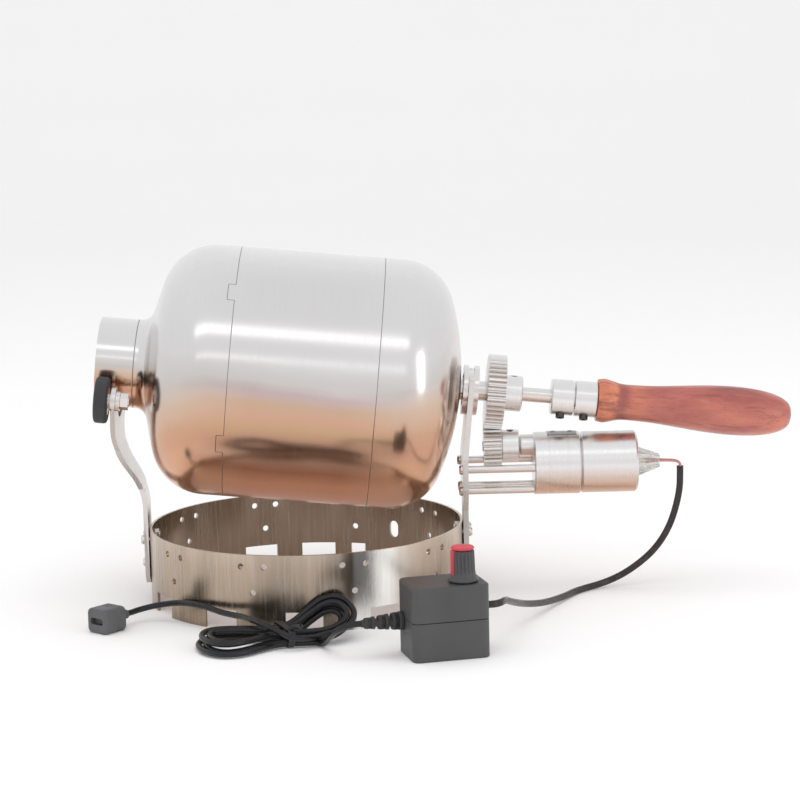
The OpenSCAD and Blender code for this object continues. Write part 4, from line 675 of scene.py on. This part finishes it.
# Bare metals, each toned from underside to top as a painted reflection; black steel, strap steel
# and brass are painted lighter on top
bright_steel = metal("bright_steel", STEEL_REFLECTION_TONES, 0.24, (0.1, 1.0, 0.1), 900.0, 0.05)
arm_steel = metal("arm_steel", ARM_REFLECTION_TONES, 0.3, (1.0, 1.0, 0.08), 700.0, 0.06)
alloy = metal("alloy", ALLOY_REFLECTION_TONES, 0.3, (1.0, 0.1, 0.1), 900.0, 0.05)
motor_alloy = metal("motor_alloy", MOTOR_REFLECTION_TONES, 0.3, (1.0, 0.1, 0.1), 900.0, 0.04)
black_steel = metal("black_steel", [(0.0, (0.05, 0.045, 0.045)), (1.0, (0.09, 0.088, 0.088))], 0.38,
                    strength=0.1, patch=0.01)
strap_steel = metal("strap_steel", [(0.0, (0.16, 0.15, 0.15)), (1.0, (0.36, 0.35, 0.35))], 0.34,
                    strength=0.1, patch=0.03)
brass = metal("brass", [(0.0, (0.62, 0.46, 0.26)), (1.0, (0.78, 0.66, 0.42))], 0.3)
rubber = plastic("rubber", (0.030, 0.030, 0.031), 0.62, grain=700.0, strength=0.25)
box_plastic = plastic("box_plastic", (0.060, 0.060, 0.061), 0.46, 1400.0, 0.22,
                      second=(0.074, 0.073, 0.073))
knob_plastic = plastic("knob_plastic", (0.060, 0.060, 0.062), 0.42, 1200.0, 0.1)
red_plastic = plastic("red_plastic", (0.56, 0.055, 0.080), 0.45, strength=0.1)
seal_plastic = plastic("seal_plastic", (0.05, 0.05, 0.052), 0.5)
board_green = plastic("board_green", (0.02, 0.12, 0.05), 0.45, grain=600.0)
plug_grey = plastic("plug_grey", (0.085, 0.085, 0.088), 0.5, 1100.0, 0.2,
                    second=(0.12, 0.12, 0.124))
wire_red = plastic("wire_red", (0.62, 0.24, 0.23), 0.4, second=(0.70, 0.34, 0.31))
cord_black = cord_sheath("cord_black", (0.009, 0.0095, 0.011), 0.30)
lead_dark = cord_sheath("lead_dark", (0.026, 0.018, 0.018), 0.26)

# Wood: long reddish brown grain with dark pores, an orange bead at the coupling's end, a dark
# neck behind it and a paler patch further on
BEAD_FROM, BEAD_TO, NECK_AT, PATCH_AT = 0.1752, 0.1775, 0.1800, 0.1885
wood, tree, shader = new_material("wood")
place = drum_space(tree)
along = parts_of(tree, place)["X"]
grain = noise(tree, stretched(tree, place, (0.10, 1.0, 1.0)), 330.0, 6.0, 0.65)
figure = noise(tree, stretched(tree, place, (0.30, 1.0, 1.0)), 75.0, 4.0, 0.55)
fleck = noise(tree, stretched(tree, place, (0.22, 1.0, 1.0)), 1100.0, 3.0, 0.6)
brown = ramp(tree, figure, [(0.28, (0.27, 0.060, 0.050)), (0.42, (0.41, 0.100, 0.078)),
                            (0.56, (0.51, 0.145, 0.105)), (0.72, (0.66, 0.20, 0.115))])
uneven = calc(tree, "ADD", along, spread(tree, figure, -0.002, 0.002, 0.3, 0.7))
patch = calc(tree, "MULTIPLY", line_at(tree, uneven, PATCH_AT, 0.0015, 0.006), 0.5)
flare = calc(tree, "MAXIMUM", spread(tree, uneven, 1.0, 0.0, BEAD_FROM, BEAD_TO), patch)
neck = calc(tree, "MULTIPLY", line_at(tree, uneven, NECK_AT, 0.001, 0.004), 0.55)
brown = mixed(tree, brown, (0.26, 0.062, 0.045), neck)
orange = mixed(tree, (0.72, 0.24, 0.115), (0.52, 0.14, 0.07),
               spread(tree, grain, 0.0, 1.0, 0.4, 0.6))
brown = mixed(tree, brown, orange, calc(tree, "MULTIPLY", flare, 0.85))
brown = mixed(tree, brown, (0.14, 0.03, 0.024), spread(tree, grain, 0.0, 0.6, 0.54, 0.70))
brown = mixed(tree, brown, (0.13, 0.03, 0.024), spread(tree, fleck, 0.0, 0.45, 0.58, 0.72))
dress(tree, shader, Base_Color=brown, Roughness=spread(tree, grain, 0.34, 0.5, 0.3, 0.7),
      Coat_Weight=0.5, Coat_Roughness=0.35)
bumped(tree, shader, mixed(tree, grain, fleck, 0.5), 0.22, 0.0002)

# Clear boot: hazy soft plastic
clear_boot, tree, shader = new_material("clear_boot")
haze = noise(tree, object_space(tree), 260.0, 3.0)
dress(tree, shader, Transmission_Weight=0.85, IOR=1.42,
      Base_Color=mixed(tree, (0.90, 0.89, 0.86), (0.97, 0.96, 0.94), haze),
      Roughness=spread(tree, haze, 0.12, 0.32, 0.3, 0.7))
bumped(tree, shader, haze, 0.2, 0.0002)

FINISHES = {
    ring_steel: "base_ring",
    arm_steel: "left_arm right_arm",
    bright_steel: "arm_screws arm_nuts front_roller_hub rear_roller_hub roller_sleeves roller_bolts"
                  " roller_washers roller_nuts shaft_flange drum_shaft shaft_nut shaft_washer"
                  " bearing_outer_ring bearing_inner_ring bearing_balls gear_spacer output_shaft"
                  " handle_tang motor_standoffs standoff_screws potentiometer knob_shaft",
    drum_steel: "neck_collar drum_front_shell drum_body seam_sleeve drum_rear_dome mixing_vanes",
    alloy: "drive_gear motor_pinion shaft_coupling",
    motor_alloy: "gearbox motor_can",
    black_steel: "gear_set_screw pinion_set_screw coupling_screws",
    brass: "motor_terminals",
    rubber: "front_roller_tyre rear_roller_tyre strain_relief lead_grommet cord_tie",
    seal_plastic: "bearing_shields motor_end_cap",
    box_plastic: "box_lower_case box_upper_case",
    knob_plastic: "control_knob",
    red_plastic: "knob_cap",
    board_green: "circuit_board",
    plug_grey: "plug_body",
    wire_red: "motor_wires",
    cord_black: "supply_lead supply_hank plug_lead",
    lead_dark: "motor_lead",
    wood: "wooden_handle",
    clear_boot: "terminal_boot",
}
for material, names in FINISHES.items():
    for name in names.split():
        mesh = nodes[name].data
        mesh.materials.clear()
        mesh.materials.append(material)


# Left arm: the sheet's two bends drawn wider and softer
ARM_CORNERS = [(-89.8, 10.5), (-89.8, 65.0), (-105.742, 89.0), (-100.844, 135.6)]
SHEET_BEND, SOFT_BEND = 5.0, 40.0
CUT_FROM, CUT_STEP, CUTS = 52.0, 1.5, 36
BENT_FROM, BENT_TO = 50.0, 106.0
ARC_STEPS = 16


def arm_line(radius):
    """The arm's middle line in the ring's X-Z plane, its corners rounded with the radius."""
    corners = [Vector(c) for c in ARM_CORNERS]
    line = [corners[0]]
    for a, b, c in zip(corners, corners[1:], corners[2:]):
        back, on = (a - b).normalized(), (c - b).normalized()
        reach = radius * math.tan((math.pi - back.angle(on)) / 2)
        start, end = b + back * reach, b + on * reach
        for q in [k / ARC_STEPS for k in range(ARC_STEPS + 1)]:
            line.append(start.lerp(b, q).lerp(b.lerp(end, q), q))
    return line + [corners[-1]]


def x_at(line, z):
    """Where the line stands at the height z."""
    for a, b in zip(line, line[1:]):
        if a.y <= z <= b.y:
            return a.x + (b.x - a.x) * (z - a.y) / max(b.y - a.y, 1e-9)
    return line[-1].x


sheet_line, soft_line = arm_line(SHEET_BEND), arm_line(SOFT_BEND)
bm = bmesh.new()
bm.from_mesh(nodes["left_arm"].data)
bm.transform(nodes["left_arm"].matrix_world)
bmesh.ops.remove_doubles(bm, verts=bm.verts, dist=0.000001)
for k in range(CUTS):
    bmesh.ops.bisect_plane(bm, geom=bm.verts[:] + bm.edges[:] + bm.faces[:], dist=0.0000001,
                           plane_co=(0, 0, (CUT_FROM + CUT_STEP * k) * MM), plane_no=(0, 0, 1))
for vert in bm.verts:
    z = vert.co.z / MM
    if BENT_FROM < z < BENT_TO:
        vert.co.x += (x_at(soft_line, z) - x_at(sheet_line, z)) * MM
arm_sheet = piece("left_arm_sheet", finished("left_arm_sheet", bm), "stand", arm_steel)
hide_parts("left_arm")


# Control box: two halves with rounded edges and a fine groove where they meet
SEAM_GAP, EDGE_SUPPORT, SEAM_EDGE = 0.12, 0.4, 0.35
FOOT_EDGE, TOP_EDGE = 0.8, 1.1


def box_half(name, low, high, low_edge, high_edge):
    """One half of the box, from low to high, with the rounding of its lower and upper edge."""
    def ring(z, inset):
        outline = rounded_ring(BOX_W - 2 * inset, BOX_D - 2 * inset, BOX_R - inset, 8)
        return [on_table(on_box(u, v, z)) for u, v in outline]
    quarter = circle(5, 0, 90)
    rings = [ring(low, low_edge + EDGE_SUPPORT)]
    rings += [ring(low + low_edge * (1 - c), low_edge * (1 - s)) for c, s in quarter]
    rings += [ring(low + low_edge + EDGE_SUPPORT, 0), ring(high - high_edge - EDGE_SUPPORT, 0)]
    rings += [ring(high - high_edge * (1 - s), high_edge * (1 - c)) for c, s in quarter]
    rings += [ring(high, high_edge + EDGE_SUPPORT)]
    bm = bmesh.new()
    add_loft(bm, rings)
    half = piece(name, finished(name, bm, 50.0), "stand", box_plastic)
    return half


box_lower = box_half("box_lower", 0.0, BOX_SEAM - SEAM_GAP, FOOT_EDGE, SEAM_EDGE)
box_upper = box_half("box_upper", BOX_SEAM + SEAM_GAP, BOX_H, SEAM_EDGE, TOP_EDGE)
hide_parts("box_lower_case")
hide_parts("box_upper_case")

# Knob: a flared skirt under a fluted grip, as heights above its foot, radii and flute depths
KNOB_PROFILE = [(0, 7.3, 0), (0.15, 7.75, 0), (0.45, 7.95, 0), (1.0, 7.95, 0), (1.3, 7.8, 0),
                (1.5, 7.5, 0), (2.0, 7.2, 0), (2.8, 6.85, 0), (3.5, 6.58, 0.1), (4.2, 6.4, 0.35),
                (5.0, 6.3, 0.6), (6.5, 6.26, 0.72), (9, 6.2, 0.72), (12, 6.1, 0.72),
                (14.4, 6.02, 0.7), (15.2, 5.98, 0.62), (15.7, 5.85, 0.45), (16.0, 5.5, 0.2),
                (16.0, 5.0, 0.0)]
KNOB_FOOT, KNOB_START, KNOB_SIDES, KNOB_FLUTES, FLUTE_SHARPNESS = 0.4, 192, 216, 18, 1.4
round_knob = circle(KNOB_SIDES, KNOB_START)
lathe = loft_mesh([[on_table(on_box(KNOB[0] + r * c, KNOB[1] + r * s, BOX_H + KNOB_FOOT + z))
                    for c, s in round_knob] for z, r, _ in KNOB_PROFILE])
carry(lathe, "flute", [flute * MM for _, _, flute in KNOB_PROFILE for _ in range(KNOB_SIDES)])
fluted = grown(flute_tree, lathe, Flutes=KNOB_FLUTES, Sharpness=FLUTE_SHARPNESS,
               Start=math.radians(KNOB_START) + BOX_TURN, Axis=on_table(on_box(*KNOB, 0)),
               Finish=knob_plastic)
knob = piece("knob_grip", smooth(fluted, 45.0), "knob", knob_plastic)
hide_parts("control_knob")

# Strain relief: rings on a thin sleeve, joined by webs that change sides from gap to gap
RELIEF_R, RELIEF_LESS = 5.0, 2.4 / RELIEF_LONG
SLEEVE = [(-1, 2.35), (0, 2.35), (21.6, 1.95), (22, 1.8)]
SLEEVE_R, RELIEF_SIDES = 1.8, 40
FIRST_RING, RING_AT, RING_THICK, RING_STEP, RINGS = 2.6, 4.1, 2.1, 3.6, 5
WEB_AT, WEB_LONG, WEB_HALF, WEB_LOWER = 2.3, 2.1, 1.3, 0.35
FIRST_WEB_MIDDLE, WEB_MIDDLE = 0.7, 1.2


def on_relief(t, y, z):
    """A point t along the strain relief from the box's wall."""
    return on_table(on_box(-BOX_W / 2 - t, RELIEF_V + y, RELIEF_Z + z))


def relief_r(t):
    return RELIEF_R - RELIEF_LESS * t


def relief_ring(t, r):
    return [on_relief(t, r * c, r * s) for c, s in circle(RELIEF_SIDES)]


def relief_rib(t, thick):
    """One ring with eased edges, as a loft's outlines."""
    r0, r1, end = relief_r(t), relief_r(t + thick), t + thick
    return [relief_ring(*q) for q in (
        (t, SLEEVE_R), (t, r0 - 0.5), (t + 0.12, r0 - 0.15), (t + 0.4, r0),
        (end - 0.4, r1), (end - 0.12, r1 - 0.15), (end, r1 - 0.5), (end, SLEEVE_R))]


along_relief, across_relief = (on_relief(*q) - on_relief(0, 0, 0) for q in ((1, 0, 0), (0, 1, 0)))
bm = bmesh.new()
add_loft(bm, [relief_ring(t, r) for t, r in SLEEVE])
add_loft(bm, relief_rib(0.0, FIRST_RING))
rib_rings = relief_rib(RING_AT, RING_THICK)
rib = loft_mesh(rib_rings)
still = [Vector((0, 0, 0))]
inward = [-(across_relief * c / MM + Vector((0, 0, s))) for c, s in circle(RELIEF_SIDES)]
carry(rib, "inward",
      still * RELIEF_SIDES + inward * (len(rib_rings) - 2) + still * RELIEF_SIDES)
bm.from_mesh(grown(row_tree, rib, Count=RINGS, Step=along_relief * RING_STEP,
                   Narrowing=RELIEF_LESS * RING_STEP * MM, Finish=rubber))
for gap, count in ((0, 1), (1, 2), (2, 2)):
    near = WEB_AT + RING_STEP * gap
    reach = relief_r(near + (WEB_MIDDLE if gap else FIRST_WEB_MIDDLE)) - WEB_LOWER
    sideways = gap % 2
    for side in (-1, 1):
        corners = [(0, -WEB_HALF), (0, WEB_HALF)]
        corners += [(side * reach, WEB_HALF), (side * reach, -WEB_HALF)]
        web = loft_mesh([[on_relief(t, *((a, b) if sideways else (b, a))) for a, b in corners]
                         for t in (near, near + WEB_LONG)])
        back = (across_relief / MM if sideways else Vector((0, 0, 1))) * -side
        carry(web, "inward", (still * 2 + [back] * 2) * 2)
        bm.from_mesh(grown(row_tree, web, Count=count, Step=along_relief * RING_STEP * 2,
                           Narrowing=RELIEF_LESS * RING_STEP * 2 * MM, Finish=rubber))
relief = piece("cord_relief", finished("cord_relief", bm, 50.0), "stand", rubber)
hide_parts("strain_relief")

# Tie round the hank's waist: a flat band, its ends twisted together and bent to the front
BAND_SECTION = [(-1.9, -0.12), (-1.6, 0.2), (-0.55, 0.3), (-0.3, 0.16), (0.3, 0.16), (0.55, 0.3),
                (1.6, 0.2), (1.9, -0.12), (1.5, -0.3), (-1.5, -0.3)]
BAND_W, BAND_H, BAND_R, BAND_Z = 26.8, 8.8, 3.4, 4.82
BAND_SWAY, BAND_WAVE = 4.2, 0.5
STRAND_R, STRAND_TURNS, STRAND_POINTS = 0.62, 3.2, 61
STRAND_SPLIT, STRAND_SPLAY = 0.86, 4.5


def on_hank(u, v, z):
    """A point of the hank: u along it, v across it."""
    c, s = math.cos(HANK_TURN), math.sin(HANK_TURN)
    return on_table((HANK_X + u * c - v * s, HANK_Y + u * s + v * c, z))


def twisted(q, start):
    """A strand's middle at the share q of its length."""
    turn = start + 2 * math.pi * STRAND_TURNS * q
    wide = STRAND_R + STRAND_SPLAY * max(0.0, q - STRAND_SPLIT)
    across, rise = wide * math.cos(turn), wide * math.sin(turn)
    return on_hank(4.0 + 4.5 * q + across, -9.6 - 5.6 * q + 0.6 * rise,
                   9.5 + 6.4 * q - 4.2 * q * q + 0.8 * rise)


bm = bmesh.new()
loop_path = rounded_ring(BAND_W, BAND_H, BAND_R, 8, 2.0)
band = []
for i, (v, z) in enumerate(loop_path):
    nv, nz = loop_path[(i + 1) % len(loop_path)], loop_path[i - 1]
    out = Vector((nv[1] - nz[1], -(nv[0] - nz[0]))).normalized()
    sway = BAND_SWAY + BAND_WAVE * math.sin(2 * math.pi * i / len(loop_path))
    band.append([on_hank(sway + a, v + b * out.x, BAND_Z + z + b * out.y) for a, b in BAND_SECTION])
add_loft(bm, band, wrap=True)
for start in (0, math.pi):
    core = [twisted(k / (STRAND_POINTS - 1), start) for k in range(STRAND_POINTS)]
    bm.from_mesh(tube_along(core, STRAND_R * MM, 10, rubber))
cord_tie = piece("tie_band", finished("tie_band", bm, 50.0), "stand", rubber)
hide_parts("cord_tie")

# Plug: a grooved relief at its root, a rounded block with three grip grooves, and a port in its
# far end, as places along it with width, height and corner radius
PLUG_W, PLUG_H, PLUG_R, PORT_END = 15.0, 13.5, 2.6, 8.0
PLUG_ROOT_PROFILE = [(-14.0, 4.6, 4.6, 2.0), (-13.6, 5.0, 5.0, 2.2), (-12.2, 5.2, 5.2, 2.3),
                     (-12.0, 4.7, 4.7, 2.0), (-11.4, 4.7, 4.7, 2.0), (-11.2, 5.5, 5.5, 2.4),
                     (-9.8, 5.7, 5.7, 2.5), (-9.6, 5.1, 5.1, 2.2), (-9.0, 5.1, 5.1, 2.2),
                     (-8.8, 6.2, 6.2, 2.5), (-8.2, 6.4, 6.4, 2.6), (-8.0, 8.6, 8.2, 2.6)]
GROOVE = [(-0.5, 0.0, 2.6), (-0.3, 0.4, 2.5), (0.0, 0.6, 2.5), (0.3, 0.4, 2.5), (0.5, 0.0, 2.6)]
PORT = [(8.0, 10.0, 4.2, 1.6), (7.8, 9.4, 3.6, 1.5), (5.0, 9.3, 3.5, 1.5)]


def plug_ring(t, w, h, r):
    """A rounded outline round the plug's axis, t from its middle."""
    side = Vector((-plug_axis.y, plug_axis.x, 0.0))
    return [on_table(PLUG + plug_axis * t + side * y + Vector((0, 0, z)))
            for y, z in rounded_ring(w, h, r, 6, 0.25)]


sections = PLUG_ROOT_PROFILE[:]
sections += [(-PORT_END + 2.4 * (1 - c), PLUG_W - 4.8 * (1 - s), PLUG_H - 4.8 * (1 - s), PLUG_R)
             for c, s in circle(6, 0, 90)[1:]]
for middle in (-3.6, -2.0, -0.4):
    sections += [(middle + t, PLUG_W - less, PLUG_H - less, r) for t, less, r in GROOVE]
sections += [(5.9, PLUG_W, PLUG_H, PLUG_R)]
sections += [(PORT_END - 1.6 * (1 - s), PLUG_W - 3.2 * (1 - c), PLUG_H - 3.2 * (1 - c),
              PLUG_R - 0.9 * (1 - c)) for c, s in circle(6, 0, 90)]
bm = bmesh.new()
add_loft(bm, [plug_ring(*q) for q in sections + PORT])
plug = piece("plug_block", finished("plug_block", bm, 45.0), "stand", plug_grey)
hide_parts("plug_body")

# Two thin wires from the motor's terminals to the top of its lead, as x, half gap and height
WIRES = [(191.7, 5.0, 0.0), (193.1, 5.0, 0.0), (195.8, 3.3, 0.0), (199.0, 1.8, -0.05),
         (204.3, 1.15, -0.2), (208.8, 1.0, -0.5), (211.3, 0.92, -1.5), (212.0, 0.9, -2.6),
         (212.0, 0.9, 69 - MOTOR_Z)]
WIRE_R, WIRE_STEP = 0.7, 0.0007
bm = bmesh.new()
for side in (-1, 1):
    line = smooth_route([on_table((x, side * y, MOTOR_Z + z)) for x, y, z in WIRES])
    bm.from_mesh(tube_along(evened(line, WIRE_STEP), WIRE_R * MM, 12, wire_red))
motor_wires = piece("thin_wires", finished("thin_wires", bm, 50.0), "stand", wire_red)
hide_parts("motor_wires")

# Small dark strap with two flat screws on the gearbox's top, as x and radius round the motor
STRAP = [(137.0, 17.5), (136.7, 17.62), (136.75, 17.8), (137.0, 17.88), (153.0, 17.88),
         (153.25, 17.8), (153.3, 17.62), (153.0, 17.5)]
SCREW_X, SCREW_STEP, SCREW_R = 140.2, 9.6, 17.8
SCREW_HEAD = [(1.7, -0.3), (1.7, 0.12), (1.55, 0.25), (1.2, 0.33), (0.85, 0.35), (0.8, 0.05),
              (0.2, 0.0)]


def on_motor(x, angle, r):
    """A point round the motor's axis, at the angle from straight up in degrees."""
    a = math.radians(angle)
    return on_table((x, r * math.sin(a), MOTOR_Z + r * math.cos(a)))


bm = bmesh.new()
add_loft(bm, [[on_motor(x, angle, r) for x, r in STRAP] for angle in range(-18, 19, 3)])
screw_seat = on_motor(SCREW_X, 0, SCREW_R)
head = loft_mesh([[screw_seat + Vector((r * c, r * s, z)) * MM for c, s in circle(18)]
                  for r, z in SCREW_HEAD])
bm.from_mesh(grown(row_tree, head, Count=2, Step=Vector((SCREW_STEP * MM, 0, 0)), Narrowing=0.0,
                   Finish=strap_steel))
strap = piece("gearbox_strap", finished("gearbox_strap", bm), "stand", strap_steel)

# Supply cord, in one piece from the strain relief through the hank to the plug
round_cord = [(CORD_D / 2 * MM * c, CORD_D / 2 * MM * s) for c, s in circle(12)]
supply_cord = piece("supply_cord", swept_mesh("supply_cord", supply_line, round_cord), "stand",
                    cord_black)
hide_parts("supply_lead", "supply_hank", "plug_lead")

# Motor lead: two cores side by side under one sheath, rounded off at both ends
core_r = LEAD_D / 4 * MM
twin_cord = [(side * core_r + core_r * c, core_r * 1.25 * s)
             for side, start in ((1, -105), (-1, 75)) for c, s in circle(7, start, start + 210)]
motor_cord = piece("motor_cord", swept_mesh("motor_cord", motor_line, twin_cord), "stand",
                   lead_dark)
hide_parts("motor_lead")

# Floor, and a backdrop that curves up from it
FLOOR_HALF, FLOOR_FRONT, FLOOR_BACK, COVE_R, BACKDROP_H = 5.0, -3.0, 2.2, 0.6, 4.0
rows = [(FLOOR_FRONT, 0.0), (FLOOR_BACK, 0.0)]
rows += [(FLOOR_BACK + COVE_R * s, COVE_R * (1 - c)) for c, s in circle(6, 0, 90)[1:]]
rows += [(FLOOR_BACK + COVE_R, BACKDROP_H)]
floor_mesh = bpy.data.meshes.new("floor")
floor_mesh.from_pydata([(x, y, z) for y, z in rows for x in (-FLOOR_HALF, FLOOR_HALF)], [],
                       [(2 * i, 2 * i + 1, 2 * i + 3, 2 * i + 2) for i in range(len(rows) - 1)])
floor_mesh.polygons.foreach_set("use_smooth", [True] * len(floor_mesh.polygons))
floor = bpy.data.objects.new("floor", floor_mesh)
bpy.context.scene.collection.objects.link(floor)
floor_paint, tree, shader = new_material("floor_paint")
dress(tree, shader, Roughness=0.9, Emission_Color=(1, 1, 1, 1), Emission_Strength=0.08,
      Base_Color=mixed(tree, (0.90, 0.897, 0.893), (0.915, 0.912, 0.909),
                       noise(tree, object_space(tree), 3.0)))
floor_mesh.materials.append(floor_paint)


# Soft studio light
def softbox(name, place, target, size, power):
    """A rectangle of light at the place, turned towards the target."""
    data = bpy.data.lights.new(name, "AREA")
    data.shape = "RECTANGLE"
    data.size, data.size_y = size
    data.energy = power
    lamp = bpy.data.objects.new(name, data)
    bpy.context.scene.collection.objects.link(lamp)
    lamp.location = place
    aim = Vector(target) - Vector(place)
    lamp.rotation_euler = aim.to_track_quat("-Z", "Y").to_euler()
    return lamp


softbox("strip_light", (-0.12, -1.12, 1.30), (-0.12, 0.0, 0.14), (1.5, 0.24), 0.82)
softbox("low_strip_light", (-0.12, -1.65, 0.78), (-0.12, 0.0, 0.14), (1.4, 0.10), 0.25)
softbox("window_light", (1.25, -1.0, 0.45), (0.0, 0.0, 0.08), (0.36, 0.9), 2.1)
# This one lights dull surfaces only, and isn't seen in the metal
overhead = softbox("overhead_light", (-0.1, -0.1, 1.7), (-0.05, 0.0, 0.0), (1.6, 1.2), 8.0)
overhead.visible_glossy = False

world = bpy.data.worlds.new("studio")
bpy.context.scene.world = world
world.use_nodes = True
sky = world.node_tree.nodes["Background"]
sky.inputs["Color"].default_value = (0.98, 0.985, 1.0, 1)
sky.inputs["Strength"].default_value = 0.84
bpy.context.scene.view_settings.view_transform = "Standard"
